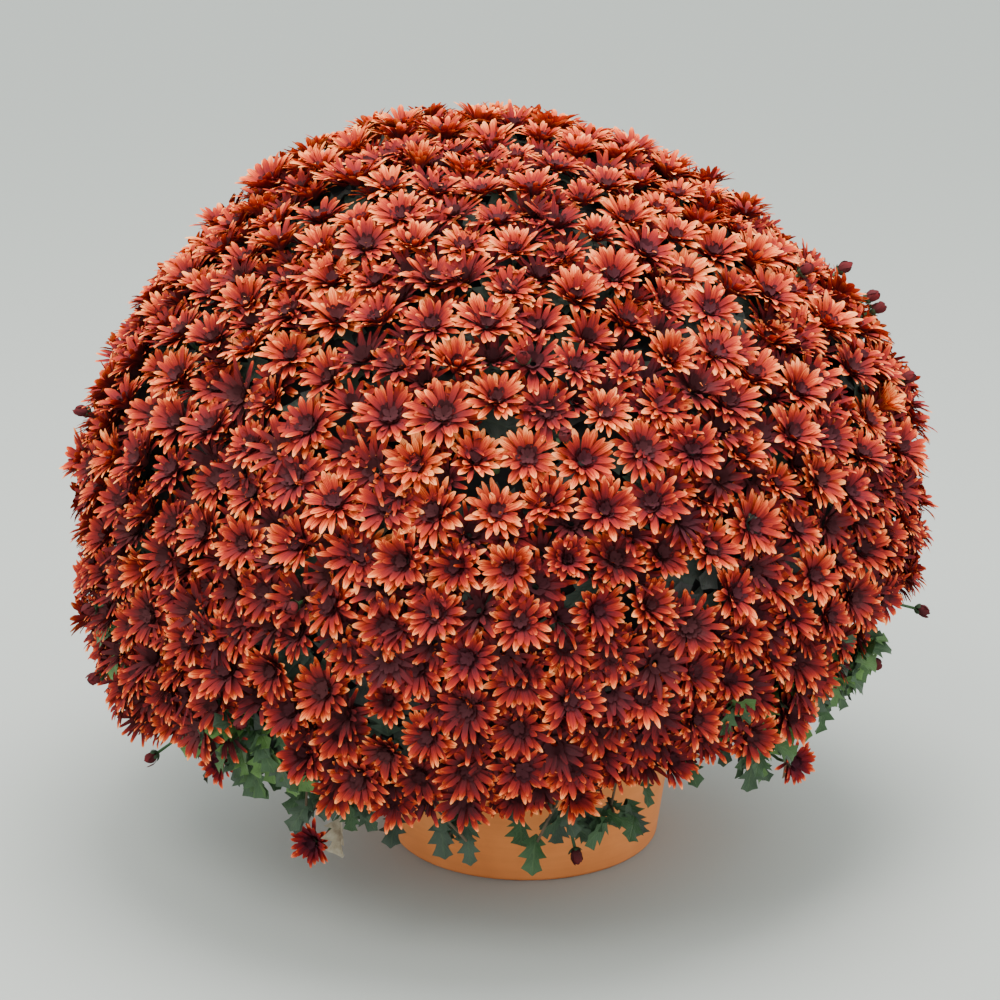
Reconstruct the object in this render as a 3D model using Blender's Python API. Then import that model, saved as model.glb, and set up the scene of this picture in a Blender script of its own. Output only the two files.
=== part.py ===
"""Pot chrysanthemum: a tapered clay pot of soil with six leafy shoots, whose eighteen flowering sprays
close up into one dome of small daisy blooms, and four blooms on side stalks below it.

Frame: +Z up, origin at the centre of the pot's underside. The dome is measured from its own middle,
by a polar angle from straight up and an azimuth from +X. Angles are in degrees in the values below,
and in radians in the functions.
"""

import math

import bmesh
import bpy
import numpy as np
from mathutils import Vector
from mathutils.bvhtree import BVHTree
from mathutils.geometry import delaunay_2d_cdt

SEED = 914

# Clay pot and its soil
POT_BASE_R = 0.095
POT_TOP_R = 0.123
POT_HEIGHT = 0.200
POT_WALL = 0.006
POT_FLOOR = 0.009
POT_FOOT_BEVEL = 0.0025
LIP_HEIGHT = 0.012
LIP_PROUD = 0.003
LIP_SLOPE = 0.002
POT_SIDES = 32
DRAIN_HOLES = 4
DRAIN_HOLE_R = 0.007
DRAIN_CIRCLE_R = 0.056
SEAT_GAP = 0.0003
SOIL_TOP = 0.178
SOIL_CROWN = 0.006
CROWN_SHARE = 0.62

# Dome of blooms
DOME_CENTRE = (-0.020, 0.0, 0.2425)
MEAN_R = 0.285
PROFILE_STEP = 18.0
PROFILE_RADII = (0.273, 0.2755, 0.277, 0.282, 0.291, 0.2915, 0.288, 0.271, 0.248)
# Swells of the outline: polar angle, azimuth, height and half width
SWELLS = ((111, 198, 0.012, 13), (72, 6, 0.010, 14), (96, 350, 0.007, 12), (47, 170, -0.002, 18),
          (47, 12, -0.006, 14), (88, 182, -0.006, 14), (24, 34, -0.005, 16), (30, 148, 0.007, 18),
          (62, 300, 0.004, 18), (72, 238, -0.004, 18), (44, 262, 0.003, 16), (92, 262, 0.003, 16),
          (88, 92, 0.007, 20), (60, 60, -0.004, 18), (104, 138, 0.006, 14), (66, 120, 0.004, 16))
# Polar angle of the dome's lower edge, at each step of azimuth
SKIRT_STEP = 15.0
SKIRT_ANGLES = (106, 113, 119, 122, 120, 123, 121, 118, 121, 124, 121, 118,
                117, 119, 119, 112, 119, 121, 118, 119, 112, 111, 98, 98)
# Spots without blooms: polar angle, azimuth and radius
BARE_SPOTS = ((110.0, 236.0, 0.037), (100.0, 209.0, 0.021))
# Blooms along the spiral, of which those below the lower edge are left out
BLOOM_COUNT = 736
BLOOM_SPACING = 0.0326
BLOOM_CROWDING = 0.020
CLOSEST = 1e-6
SPIRAL_JITTER = 0.030
RELIEF = 0.015
HEIGHT_JITTER = 0.0025
UP_TURN = 0.20
TILT_JITTER = 0.05
RELAX_STEPS = 60
RELAX_SHARE = 0.30

# One bloom: a ring on the spray's skin, petals that stand out over it, a raised heart
PETALS = 4
RING_R = 0.0092
PETAL_REACH = 0.0185
PETAL_RISE = 0.0125
HEART_RISE = 0.0080
REACH_SHARE = 0.460

# Buds in the gaps between blooms
BUD_COUNT = 16
BUD_RING_R = 0.0026
BUD_R = 0.0045
BUD_RISE = 0.016
BUD_SHOULDER = 0.6
BUD_COSINES = (-0.45, 0.80)
BUD_CLEARANCE = 0.0180
BUD_ROOM = 0.0060
BUD_MARGIN = 0.0065
BUD_SPACING = 0.05

# Sprays: rings of cells round a cap, by the polar angles between them, their counts and first azimuths
CELL_RINGS = (24.0, 54.0, 84.0)
CELL_COUNTS = (5, 6, 6)
CELL_STARTS = (0.0, 0.0, 30.0)
CELL_STRETCH = (0.64, 0.95, 0.97)
CELL_STEP = 15.0
CELL_GAP = 0.0013
CELL_MARGIN = 0.0140
SPRAY_THICKNESS = 0.007
SIDE_POINTS = 4
CAP_BACK_SHARE = 0.55
CAP_BACK_POINTS = 6
BACK_SHARES = (0.34, 0.67)
BACK_COLUMNS = 3

# Shoots: stems from the soil to the sprays, and the leaves under the dome's skirt
SHOOTS = 6
CAP_SHOOT = 4
SHOOT_CIRCLE_R = 0.044
SHOOT_DEPTH = 0.050
SHOOT_HOLE_R = 0.0084
TRUNK_R = 0.0062
BRANCH_R = 0.0040
TWIG_R = 0.0022
COLLAR = 0.018
FORK_R = 0.076
FORK_HEIGHT = 0.245
FORK_LEAN = 0.6
CAP_SEAT_ANGLE = 0.15
SKIRT_BOW = 0.02
STEM_TAPER = 0.85
SEAT_RUN = 0.020
TWIG_RUN = 0.016
TWIG_START = 0.45
TWIG_TURN = 0.30
LEAVES_A_SHOOT = 4
LEAF_ROWS = (2.5, 10.0)
LEAF_SECTOR = 56.0
LEAF_SPAN = 7.0
SIDE_ROOM = 12.0
LEAF_NODES = (0.10, 0.17)
LEAF_SIZES = (0.90, 0.20)
STALK_BEND = 0.55
STALK_DIP = 0.006
STALK_LAP = 0.008
LEAF_BASE_R = 0.236
LEAF_LENGTH = 0.046
LEAF_HALF_WIDTH = 0.020
LEAF_THICKNESS = 0.0009
LEAF_FOLD = 0.25
LEAF_DROOP = 0.007
LEAF_RIB = (0.0, 0.36, 1.0)
LEAF_LOBES = ((0.16, 0.85), (0.34, 0.42), (0.52, 1.0), (0.66, 0.44))
STALK_RADII = (0.0019, 0.0014, 0.0011)

# Side blooms: polar angle, azimuth, distance from the dome's middle, and azimuth that each faces
SIDE_BLOOMS = ((143.0, 219.0, 0.261, 245.0), (130.9, 351.7, 0.2735, 305.0),
               (128.7, 202.0, 0.2563, 230.0))
SIDE_FACING = 84.0
SIDE_PETALS = 7
SIDE_CALYX_R = 0.003
SIDE_CALYX_DEPTH = 0.005
SIDE_RING_R = 0.0075
SIDE_REACH = 0.0175
SIDE_RISE = 0.004
SIDE_HEART = 0.006
SIDE_STALK_RUN = 0.014
SIDE_STALK_DIP = 0.050
SIDE_NODE = 0.9

GOLDEN_ANGLE = math.pi * (3.0 - math.sqrt(5.0))
CENTRE = np.array(DOME_CENTRE)


def clear_scene():
    for obj in list(bpy.data.objects):
        bpy.data.objects.remove(obj, do_unlink=True)


def material(name, colour, roughness):
    made = bpy.data.materials.new(name)
    made.use_nodes = True
    shader = made.node_tree.nodes["Principled BSDF"]
    shader.inputs["Base Color"].default_value = (*colour, 1.0)
    shader.inputs["Roughness"].default_value = roughness
    shader.inputs["Metallic"].default_value = 0.0
    return made


def object_from(name, points, faces, finish=None):
    """A mesh object with its faces turned outwards."""
    mesh = bpy.data.meshes.new(name)
    mesh.from_pydata([tuple(p) for p in points], [], [tuple(f) for f in faces])
    work = bmesh.new()
    work.from_mesh(mesh)
    bmesh.ops.recalc_face_normals(work, faces=work.faces)
    if work.calc_volume(signed=True) < 0:
        bmesh.ops.reverse_faces(work, faces=work.faces)
    work.to_mesh(mesh)
    work.free()
    obj = bpy.data.objects.new(name, mesh)
    bpy.context.scene.collection.objects.link(obj)
    if finish:
        mesh.materials.append(finish)
    return obj


def combine(target, others, operation):
    """Joins the other objects to the target, or cuts them from it, and removes them."""
    group = bpy.data.collections.new("operands")
    bpy.context.scene.collection.children.link(group)
    for other in others:
        group.objects.link(other)
    boolean = target.modifiers.new("combine", "BOOLEAN")
    boolean.operation = operation
    boolean.solver = "MANIFOLD"
    boolean.operand_type = "COLLECTION"
    boolean.collection = group
    bpy.context.view_layer.update()
    graph = bpy.context.evaluated_depsgraph_get()
    mesh = bpy.data.meshes.new_from_object(target.evaluated_get(graph))
    target.modifiers.clear()
    target.data = mesh
    for other in others:
        bpy.data.objects.remove(other, do_unlink=True)
    bpy.data.collections.remove(group)
    return target


# The dome's outline

def profile(theta):
    """The dome's radius at a polar angle, on a smooth curve through the profile's own points."""
    radii = np.array((PROFILE_RADII[1], *PROFILE_RADII, 2 * PROFILE_RADII[-1] - PROFILE_RADII[-2]))
    last = len(PROFILE_RADII) - 1
    place = np.clip(theta / math.radians(PROFILE_STEP), 0.0, last)
    at = np.minimum(place.astype(int), last - 1)
    t = place - at
    a, b, c, d = radii[at], radii[at + 1], radii[at + 2], radii[at + 3]
    return b + 0.5 * t * (c - a + t * (2 * a - 5 * b + 4 * c - d + t * (3 * (b - c) + d - a)))


def lumps(theta, azimuth):
    """How far the swells of the crowded sprays stand out, or in, from the profile."""
    here, total = direction(theta, azimuth), 0.0
    for swell_theta, swell_azimuth, height, spread_angle in SWELLS:
        middle = direction(np.radians(swell_theta), np.radians(swell_azimuth))
        away = np.arccos(np.clip(here @ middle, -1.0, 1.0)) / math.radians(spread_angle)
        total = total + height * np.exp(-away * away)
    return total


def skirt(azimuth):
    """The polar angle where the blooms end, which is higher where leaves show."""
    knots = np.arange(len(SKIRT_ANGLES)) * SKIRT_STEP
    return np.radians(np.interp(np.degrees(azimuth), knots, SKIRT_ANGLES, period=360.0))


def direction(theta, azimuth):
    theta, azimuth = np.broadcast_arrays(theta, azimuth)
    return np.stack([np.sin(theta) * np.cos(azimuth), np.sin(theta) * np.sin(azimuth), np.cos(theta)], -1)


def angles_of(vectors):
    unit = vectors / np.linalg.norm(vectors, axis=-1, keepdims=True)
    return np.arccos(np.clip(unit[..., 2], -1, 1)), np.arctan2(unit[..., 1], unit[..., 0]) % (2 * math.pi)


def on_dome(theta, azimuth, below=0.0):
    """A point of the dome's outline, or one that far below it."""
    reach = profile(theta) + lumps(theta, azimuth) - below
    return CENTRE + direction(theta, azimuth) * reach[..., None]


# Cells, each of which holds the blooms of one spray

def cells():
    """(ring, azimuth where it starts, azimuth where it ends) of each spray. The cap is ring 0."""
    found = [(0, 0.0, 2 * math.pi)]
    for ring, (count, first) in enumerate(zip(CELL_COUNTS, CELL_STARTS), 1):
        turns = [math.radians(first + k * 360.0 / count) for k in range(count + 1)]
        found += [(ring, start, end) for start, end in zip(turns, turns[1:])]
    return found


def ring_limits(ring, azimuth):
    """The polar angles where a ring of cells starts and ends at an azimuth."""
    bounds = np.radians((0.0, *CELL_RINGS))
    low = np.full(np.shape(azimuth), bounds[ring])
    high = skirt(azimuth) if ring == len(CELL_RINGS) else np.full(np.shape(azimuth), bounds[ring + 1])
    return low, high


def cell_of(theta, azimuth, every):
    """The index of the cell that each direction falls in."""
    rings = np.searchsorted(np.radians(CELL_RINGS), theta)
    found = np.zeros(len(theta), int)
    for index, (ring, start, end) in enumerate(every):
        if ring:
            inside = ((azimuth - start) % (2 * math.pi)) < end - start
            found[(rings == ring) & inside] = index
    return found


def keep_in_cells(theta, azimuth, home, every, margin):
    """Moves each direction inside its own cell, clear of the cell's edges by the margin."""
    room = margin / (MEAN_R - RELIEF)
    for index, (ring, start, end) in enumerate(every):
        own = home == index
        reach = room / np.sin(np.maximum(theta[own], room))
        limits = [ring_limits(ring, azimuth[own] + turn * reach) for turn in (-1, 0, 1)]
        low = limits[1][0] + (room if ring else 0.0)
        high = np.min([limit[1] for limit in limits], axis=0) - room
        theta[own] = np.clip(theta[own], low, np.maximum(high, low))
        if ring:
            side = room / np.sin(theta[own])
            off = (azimuth[own] - start + math.pi) % (2 * math.pi) - math.pi
            azimuth[own] = start + np.clip(off, side, end - start - side)
    return theta, azimuth % (2 * math.pi)


def spread(theta, azimuth):
    """One step that pushes apart the points nearer than the bloom spacing."""
    points = on_dome(theta, azimuth, RELIEF)
    apart = points[:, None] - points[None]
    far = np.maximum(np.linalg.norm(apart, axis=-1), CLOSEST) + np.eye(len(points))
    push = np.clip(BLOOM_SPACING - far, 0, None) * (1 - np.eye(len(points)))
    moved = points + RELAX_SHARE * (apart / far[..., None] * push[..., None]).sum(1)
    return angles_of(moved - CENTRE)


def lay_blooms():
    """Polar angle, azimuth and cell of each bloom, from a golden-angle spiral, shaken and then relaxed."""
    rng = np.random.default_rng(SEED)
    lowest = math.cos(math.radians(max(SKIRT_ANGLES)))
    index = np.arange(BLOOM_COUNT) + 0.5
    theta = np.arccos(1.0 - index / BLOOM_COUNT * (1.0 - lowest))
    azimuth = index * GOLDEN_ANGLE + rng.normal(0, SPIRAL_JITTER, BLOOM_COUNT) / np.sin(theta)
    theta = np.abs(theta + rng.normal(0, SPIRAL_JITTER, BLOOM_COUNT))
    keep = theta < skirt(azimuth)
    theta, azimuth = theta[keep], azimuth[keep] % (2 * math.pi)
    every = cells()
    home = cell_of(theta, azimuth, every)
    for _ in range(RELAX_STEPS):
        theta, azimuth = keep_in_cells(theta, azimuth, home, every, CELL_MARGIN)
        theta, azimuth = spread(theta, azimuth)
    theta, azimuth = keep_in_cells(theta, azimuth, home, every, CELL_MARGIN)
    points = on_dome(theta, azimuth)
    crowded = np.linalg.norm(points[:, None] - points[None], axis=-1) < BLOOM_CROWDING
    clear = ~np.tril(crowded, -1).any(1)
    for spot_theta, spot_azimuth, radius in BARE_SPOTS:
        spot = on_dome(np.radians(spot_theta), np.radians(spot_azimuth))
        clear &= np.linalg.norm(points - spot, axis=1) > radius
    return theta[clear], azimuth[clear], home[clear]


def bloom_frames(theta, azimuth):
    """For each bloom: foot on the spray's skin, outward direction, facing, reach and phase."""
    rng = np.random.default_rng(SEED + 1)
    count = len(theta)
    foot = on_dome(theta, azimuth, RELIEF + rng.uniform(-HEIGHT_JITTER, HEIGHT_JITTER, count))
    out = direction(theta, azimuth)
    facing = out + np.array([0, 0, UP_TURN]) + rng.normal(0, TILT_JITTER, (count, 3))
    facing /= np.linalg.norm(facing, axis=1, keepdims=True)
    far = np.linalg.norm(foot[:, None] - foot[None], axis=-1) + np.eye(count)
    reach = np.minimum(PETAL_REACH, REACH_SHARE * far.min(1))
    phase = rng.uniform(0, 2 * math.pi, count)
    return foot, out, facing, reach, phase


def lay_buds(foot):
    """(foot, outward direction, cell) of each bud, in gaps between the blooms."""
    rng = np.random.default_rng(SEED + 2)
    every = cells()
    kept = []
    while len(kept) < BUD_COUNT:
        theta = np.arccos(rng.uniform(*BUD_COSINES, 1))
        azimuth = rng.uniform(0, 2 * math.pi, 1)
        if theta[0] > skirt(azimuth)[0]:
            continue
        home = cell_of(theta, azimuth, every)
        theta, azimuth = keep_in_cells(theta, azimuth, home, every, BUD_MARGIN)
        point = on_dome(theta, azimuth, RELIEF)[0]
        near = np.linalg.norm(foot - point, axis=1).min()
        apart = min((np.linalg.norm(point - other) for other, _out, _home in kept), default=1.0)
        if near > BUD_CLEARANCE and apart > BUD_SPACING:
            kept.append((point, direction(theta, azimuth)[0], home[0]))
    return kept


# Sprays

def flat_place(cell, vectors):
    """Places on a flat sheet of directions from the dome's middle, for triangulating one cell."""
    ring, start, end = cell
    theta, azimuth = angles_of(vectors)
    if ring == 0:
        return np.stack([theta * np.cos(azimuth), theta * np.sin(azimuth)], -1)
    off = (azimuth - 0.5 * (start + end) + math.pi) % (2 * math.pi) - math.pi
    return np.stack([off * CELL_STRETCH[ring - 1], theta], -1)


def cell_border(cell):
    """Polar angles and azimuths round one cell, drawn in by half the gap to its neighbours."""
    ring, start, end = cell
    gap = CELL_GAP / MEAN_R
    if ring == 0:
        turns = round(360 / CELL_STEP)
        return np.full(turns, math.radians(CELL_RINGS[0]) - gap), np.arange(turns) * 2 * math.pi / turns
    across = np.linspace(start, end, round(math.degrees(end - start) / CELL_STEP) + 1)
    low, high = ring_limits(ring, across)
    down = np.linspace(low[-1] + gap, high[-1] - gap, SIDE_POINTS)
    up = np.linspace(high[0] - gap, low[0] + gap, SIDE_POINTS)
    inset = gap / math.sin(0.5 * (low[0] + high[0]))
    across[0] += inset
    across[-1] -= inset
    theta = np.concatenate([low + gap, down[1:-1], high[::-1] - gap, up[1:-1]])
    sides = np.full(SIDE_POINTS - 2, across[-1]), np.full(SIDE_POINTS - 2, across[0])
    return theta, np.concatenate([across, sides[0], across[::-1], sides[1]])


def back_places(cell):
    """Polar angles and azimuths of the points inside one cell that keep the spray's back curved."""
    ring, start, end = cell
    if ring == 0:
        turns = np.arange(CAP_BACK_POINTS) * 2 * math.pi / CAP_BACK_POINTS
        away = np.full(CAP_BACK_POINTS, CAP_BACK_SHARE * math.radians(CELL_RINGS[0]))
        return np.append(0.0, away), np.append(0.0, turns)
    azimuth = np.repeat(np.linspace(start, end, BACK_COLUMNS + 2)[1:-1], len(BACK_SHARES))
    low, high = ring_limits(ring, azimuth)
    return low + (high - low) * np.tile(BACK_SHARES, BACK_COLUMNS), azimuth


def around(axis):
    """Two directions square to an axis."""
    side = np.cross(axis, (0.0, 0.0, 1.0)) if abs(axis[2]) < 0.9 else np.cross(axis, (0.0, 1.0, 0.0))
    side = side / np.linalg.norm(side)
    return side, np.cross(axis, side)


def ring_points(centre, axis, radius, count, phase):
    side, other = around(axis)
    turn = phase + np.arange(count) * 2 * math.pi / count
    return centre + radius * (np.cos(turn)[:, None] * side + np.sin(turn)[:, None] * other)


def petal_sides(ring, foot, facing):
    """Directions across the facing, one over the middle of each of the ring's edges."""
    side = 0.5 * (np.roll(ring, -1, axis=0) + ring) - foot
    side = side - (side @ facing)[:, None] * facing
    return side / np.linalg.norm(side, axis=1, keepdims=True)


def bloom_crown(foot, out, facing, reach, phase):
    """Ring on the skin, petal tips and heart of one bloom."""
    ring = ring_points(foot, out, RING_R, PETALS, phase)
    tips = foot + facing * PETAL_RISE + petal_sides(ring, foot, facing) * reach
    return ring, tips, foot + facing * HEART_RISE


def bud_crown(foot, out):
    """Ring on the skin, shoulders and tip of one bud."""
    ring = ring_points(foot, out, BUD_RING_R, 3, 0.0)
    shoulders = foot + out * BUD_RISE * BUD_SHOULDER + petal_sides(ring, foot, out) * BUD_R
    return ring, shoulders, foot + out * BUD_RISE


def crown_faces(first, ring_size, tips_at):
    """Faces from a ring of points up to its tips and its heart, which follows the tips."""
    faces = []
    heart = tips_at + ring_size
    for k in range(ring_size):
        a, b, tip = first + k, first + (k + 1) % ring_size, tips_at + k
        faces += [(a, tip, heart), (tip, b, heart), (a, b, tip)]
    return faces


def triangulated(cell, points, loops):
    """Triangles of one cell's sheet between its closed loops of points, left open inside each crown's ring."""
    flat = [Vector(place) for place in flat_place(cell, points - CENTRE)]
    edges = [(loop[k - 1], loop[k]) for loop in loops for k in range(len(loop))]
    _places, _edges, faces, source, _edge_ids, _face_ids = delaunay_2d_cdt(flat, edges, [], 1, 1e-7)
    rings = [set(loop) for loop in loops[1:]]
    found = [tuple(source[corner][0] for corner in face) for face in faces]
    inner = {ring_point: number for number, ring in enumerate(rings) for ring_point in ring}
    whose = [{inner.get(corner, -1) for corner in face} for face in found]
    return [face for face, owners in zip(found, whose) if len(owners) > 1 or -1 in owners]


def spray(name, cell, crowns, finish):
    """One spray: a curved skin over its cell, with each crown raised from a ring in the skin."""
    theta, azimuth = cell_border(cell)
    edge = len(theta)
    skin = [on_dome(theta, azimuth, RELIEF)] + [ring for ring, _tips, _heart in crowns]
    starts = np.cumsum([0] + [len(part) for part in skin])
    loops = [range(a, b) for a, b in zip(starts, starts[1:])]
    points = np.concatenate(skin)
    faces = triangulated(cell, points, loops)
    for loop, (_ring, tips, heart) in zip(loops[1:], crowns):
        faces += crown_faces(loop[0], len(loop), len(points))
        points = np.concatenate([points, tips, [heart]])
    back = len(points)
    inside_theta, inside_azimuth = back_places(cell)
    behind_theta, behind_azimuth = np.append(theta, inside_theta), np.append(azimuth, inside_azimuth)
    behind = on_dome(behind_theta, behind_azimuth, RELIEF + SPRAY_THICKNESS)
    faces += [tuple(back + corner for corner in face) for face in triangulated(cell, behind, [range(edge)])]
    for k in range(edge):
        n = (k + 1) % edge
        faces += [(k, n, back + n), (k, back + n, back + k)]
    return object_from(name, np.concatenate([points, behind]), faces, finish)


def make_sprays(finish):
    theta, azimuth, home = lay_blooms()
    foot, out, facing, reach, phase = bloom_frames(theta, azimuth)
    buds = lay_buds(foot)
    for point, _out, _home in buds:
        reach = np.minimum(reach, np.linalg.norm(foot - point, axis=1) - BUD_ROOM)
    made = []
    for index, cell in enumerate(cells()):
        own = np.flatnonzero(home == index)
        crowns = [bloom_crown(foot[i], out[i], facing[i], reach[i], phase[i]) for i in own]
        crowns += [bud_crown(point, out) for point, out, where in buds if where == index]
        made.append(spray(f"spray_{index + 1:02d}", cell, crowns, finish))
    return made


# Side blooms

def side_bloom_place(bloom):
    """Middle and facing of one side bloom."""
    theta, azimuth, reach, faced = bloom
    middle = CENTRE + direction(math.radians(theta), math.radians(azimuth)) * reach
    return middle, direction(math.radians(SIDE_FACING), math.radians(faced))


def make_side_bloom(number, bloom, finish):
    middle, facing = side_bloom_place(bloom)
    calyx = ring_points(middle - facing * SIDE_CALYX_DEPTH, facing, SIDE_CALYX_R, SIDE_PETALS, 0.0)
    ring = ring_points(middle, facing, SIDE_RING_R, SIDE_PETALS, 0.0)
    tips = middle + facing * SIDE_RISE + petal_sides(ring, middle, facing) * SIDE_REACH
    faces = [tuple(range(SIDE_PETALS))]
    for k in range(SIDE_PETALS):
        n = (k + 1) % SIDE_PETALS
        faces.append((k, n, SIDE_PETALS + n, SIDE_PETALS + k))
    faces += crown_faces(SIDE_PETALS, SIDE_PETALS, 2 * SIDE_PETALS)
    points = np.concatenate([calyx, ring, tips, [middle + facing * SIDE_HEART]])
    return object_from(f"side_bloom_{number}", points, faces, finish)


# Stems and leaves

def tube(points, radii, sides):
    """A closed tube through the points, with a radius at each."""
    points = [Vector(p) for p in points]
    verts = []
    side = None
    for k, point in enumerate(points):
        before, after = points[max(k - 1, 0)], points[min(k + 1, len(points) - 1)]
        along = (after - before).normalized()
        side = along.orthogonal() if side is None else side - along * side.dot(along)
        side.normalize()
        other = along.cross(side)
        for n in range(sides):
            turn = 2 * math.pi * n / sides
            verts.append(point + radii[k] * (math.cos(turn) * side + math.sin(turn) * other))
    faces = [tuple(range(sides))[::-1], tuple(range(len(verts) - sides, len(verts)))]
    for k in range(len(points) - 1):
        for n in range(sides):
            a, b = k * sides + n, k * sides + (n + 1) % sides
            faces.append((a, b, b + sides, a + sides))
    return object_from("tube", verts, faces)


def leaf_blade(base, along, up, length):
    """A blade with two lobes a side and a tip, folded a little along its rib and drooping to its tip."""
    side = along.cross(up).normalized()
    up = side.cross(along).normalized()
    half = LEAF_HALF_WIDTH

    def place(share, out):
        rise = LEAF_FOLD * abs(out) * half - LEAF_DROOP * share * share
        return base + along * share * length + side * out * half + up * rise

    points = [place(share, 0.0) for share in LEAF_RIB]
    for sign in (1, -1):
        points += [place(share, sign * out) for share, out in LEAF_LOBES]
    top = []
    for lobe in (3, 7):
        notch, wing, waist = lobe + 1, lobe + 2, lobe + 3
        half_faces = [(0, lobe, notch), (0, notch, 1), (1, notch, wing), (1, wing, waist), (1, waist, 2)]
        top += half_faces if lobe == 3 else [face[::-1] for face in half_faces]
    count = len(points)
    points += [point - up * LEAF_THICKNESS for point in points]
    faces = top + [tuple(corner + count for corner in face[::-1]) for face in top]
    rim = (0, 3, 4, 5, 6, 2, 10, 9, 8, 7)
    for a, b in zip(rim, (*rim[1:], rim[0])):
        faces += [(a, b, b + count), (a, b + count, a + count)]
    return object_from("leaf", points, faces)


def heading(theta, azimuth):
    return Vector(direction(theta, azimuth))


def leaf_heading(azimuth, row):
    """The way a leaf under the skirt points, in the higher row where a side bloom hangs near the lower one."""
    across = azimuth + np.radians((-LEAF_SPAN, 0.0, LEAF_SPAN))
    edge = float(skirt(across).max())
    along = heading(edge + math.radians(row), azimuth)
    blooms = [heading(math.radians(bloom[0]), math.radians(bloom[1])) for bloom in SIDE_BLOOMS]
    crowded = min(along.angle(bloom) for bloom in blooms) < math.radians(SIDE_ROOM)
    return heading(edge + math.radians(LEAF_ROWS[0]), azimuth) if crowded else along


def skirt_leaf(azimuth, row, start):
    """One leaf under the skirt, on its stalk from the branch."""
    along = leaf_heading(azimuth, row)
    base = Vector(CENTRE) + along * LEAF_BASE_R
    size = LEAF_SIZES[0] + LEAF_SIZES[1] * math.sin(azimuth * SHOOTS) ** 2
    blade = leaf_blade(base, along, Vector((0, 0, 1)), LEAF_LENGTH * size)
    middle = start.lerp(base, STALK_BEND) - along * STALK_DIP
    return [blade, tube([start, middle, base + along * STALK_LAP], STALK_RADII, 3)]


def seat_behind(item, towards):
    """A stem's end just short of the face of a spray's back that lies that way, and the face's direction."""
    tree = BVHTree.FromObject(item, bpy.context.evaluated_depsgraph_get())
    _hit, _normal, index, _far = tree.ray_cast(Vector(CENTRE), towards)
    face = item.data.polygons[index]
    normal = face.normal if face.normal.dot(towards) < 0 else -face.normal
    return face.center + normal * SEAT_GAP, normal


def carry_spray(item, cell, fork, radial):
    """A branch and a twig from the fork to the spray's back, and the two ends of the branch's bare stretch."""
    ring, start, end = cell
    middle = 0.5 * (start + end)
    low, high = ring_limits(ring, middle)
    theta = 0.5 * float(low + high) if ring else CAP_SEAT_ANGLE
    seat, normal = seat_behind(item, heading(theta, middle))
    bow = SKIRT_BOW if ring == len(CELL_RINGS) else 0.0
    bend = fork.lerp(seat, 0.5) + (radial + Vector((0, 0, 1))) * bow
    ahead = seat + normal * SEAT_RUN
    root = fork - (bend - fork).normalized() * BRANCH_R
    branch = tube([root, bend, ahead, seat], [BRANCH_R, BRANCH_R * STEM_TAPER, TWIG_R / STEM_TAPER, TWIG_R], 4)
    aside = heading(theta, middle + TWIG_TURN / max(math.sin(theta), 0.5))
    side_seat, side_normal = seat_behind(item, aside)
    twig_path = [bend.lerp(ahead, TWIG_START), side_seat + side_normal * TWIG_RUN, side_seat]
    return [branch, tube(twig_path, [TWIG_R, TWIG_R, TWIG_R * STEM_TAPER], 3)], (bend, ahead)


def side_stalk(bloom, start):
    """The long stalk from a branch, under the skirt and up behind a side bloom."""
    middle, facing = side_bloom_place(bloom)
    end = Vector(middle - facing * (SIDE_CALYX_DEPTH + SEAT_GAP))
    behind = end - Vector(facing) * SIDE_STALK_RUN
    inner = bloom[2] - SIDE_STALK_DIP
    low = Vector(CENTRE + direction(math.radians(bloom[0]), math.radians(bloom[1])) * inner)
    return tube([start, low, behind, end], [*STALK_RADII, STALK_RADII[-1]], 3)


def cells_of_shoot(number):
    """The indexes of the three sprays that a shoot carries, from the highest to the lowest."""
    first = 0 if number == CAP_SHOOT else 1 + number - (number > CAP_SHOOT)
    second = 1 + CELL_COUNTS[0] + number
    return first, second, second + CELL_COUNTS[1]


def shoot_azimuth(number):
    return (number + 0.5) * 2 * math.pi / SHOOTS


def make_shoot(number, sprays, finish):
    """One shoot: trunk in the soil, branches and twigs to its sprays, leaves and side stalks."""
    radial = heading(0.5 * math.pi, shoot_azimuth(number))
    fork = radial * FORK_R + Vector((FORK_LEAN * DOME_CENTRE[0], 0, FORK_HEIGHT))
    foot = [radial * SHOOT_CIRCLE_R + Vector((0, 0, z)) for z in (SOIL_TOP - SHOOT_DEPTH, SOIL_TOP + COLLAR)]
    parts = [tube([*foot, fork], [TRUNK_R, TRUNK_R, TRUNK_R * STEM_TAPER], 5)]
    every = cells()
    for index in cells_of_shoot(number):
        carried, (inner, outer) = carry_spray(sprays[index], every[index], fork, radial)
        parts += carried
    middle = 0.5 * sum(every[cells_of_shoot(number)[-1]][1:])
    for k in range(LEAVES_A_SHOOT):
        turn = (k - 0.5 * (LEAVES_A_SHOOT - 1)) * math.radians(LEAF_SECTOR / LEAVES_A_SHOOT)
        start = inner.lerp(outer, LEAF_NODES[0] + LEAF_NODES[1] * k)
        parts += skirt_leaf(middle + turn, LEAF_ROWS[k % 2], start)
    for bloom in SIDE_BLOOMS:
        if abs((math.radians(bloom[1]) - middle + math.pi) % (2 * math.pi) - math.pi) < math.pi / SHOOTS:
            parts.append(side_stalk(bloom, inner.lerp(outer, SIDE_NODE)))
    shoot = combine(parts[0], parts[1:], "UNION")
    shoot.name = f"shoot_{number + 1}"
    shoot.data.materials.clear()
    shoot.data.materials.append(finish)
    return shoot


# Pot and soil

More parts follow.
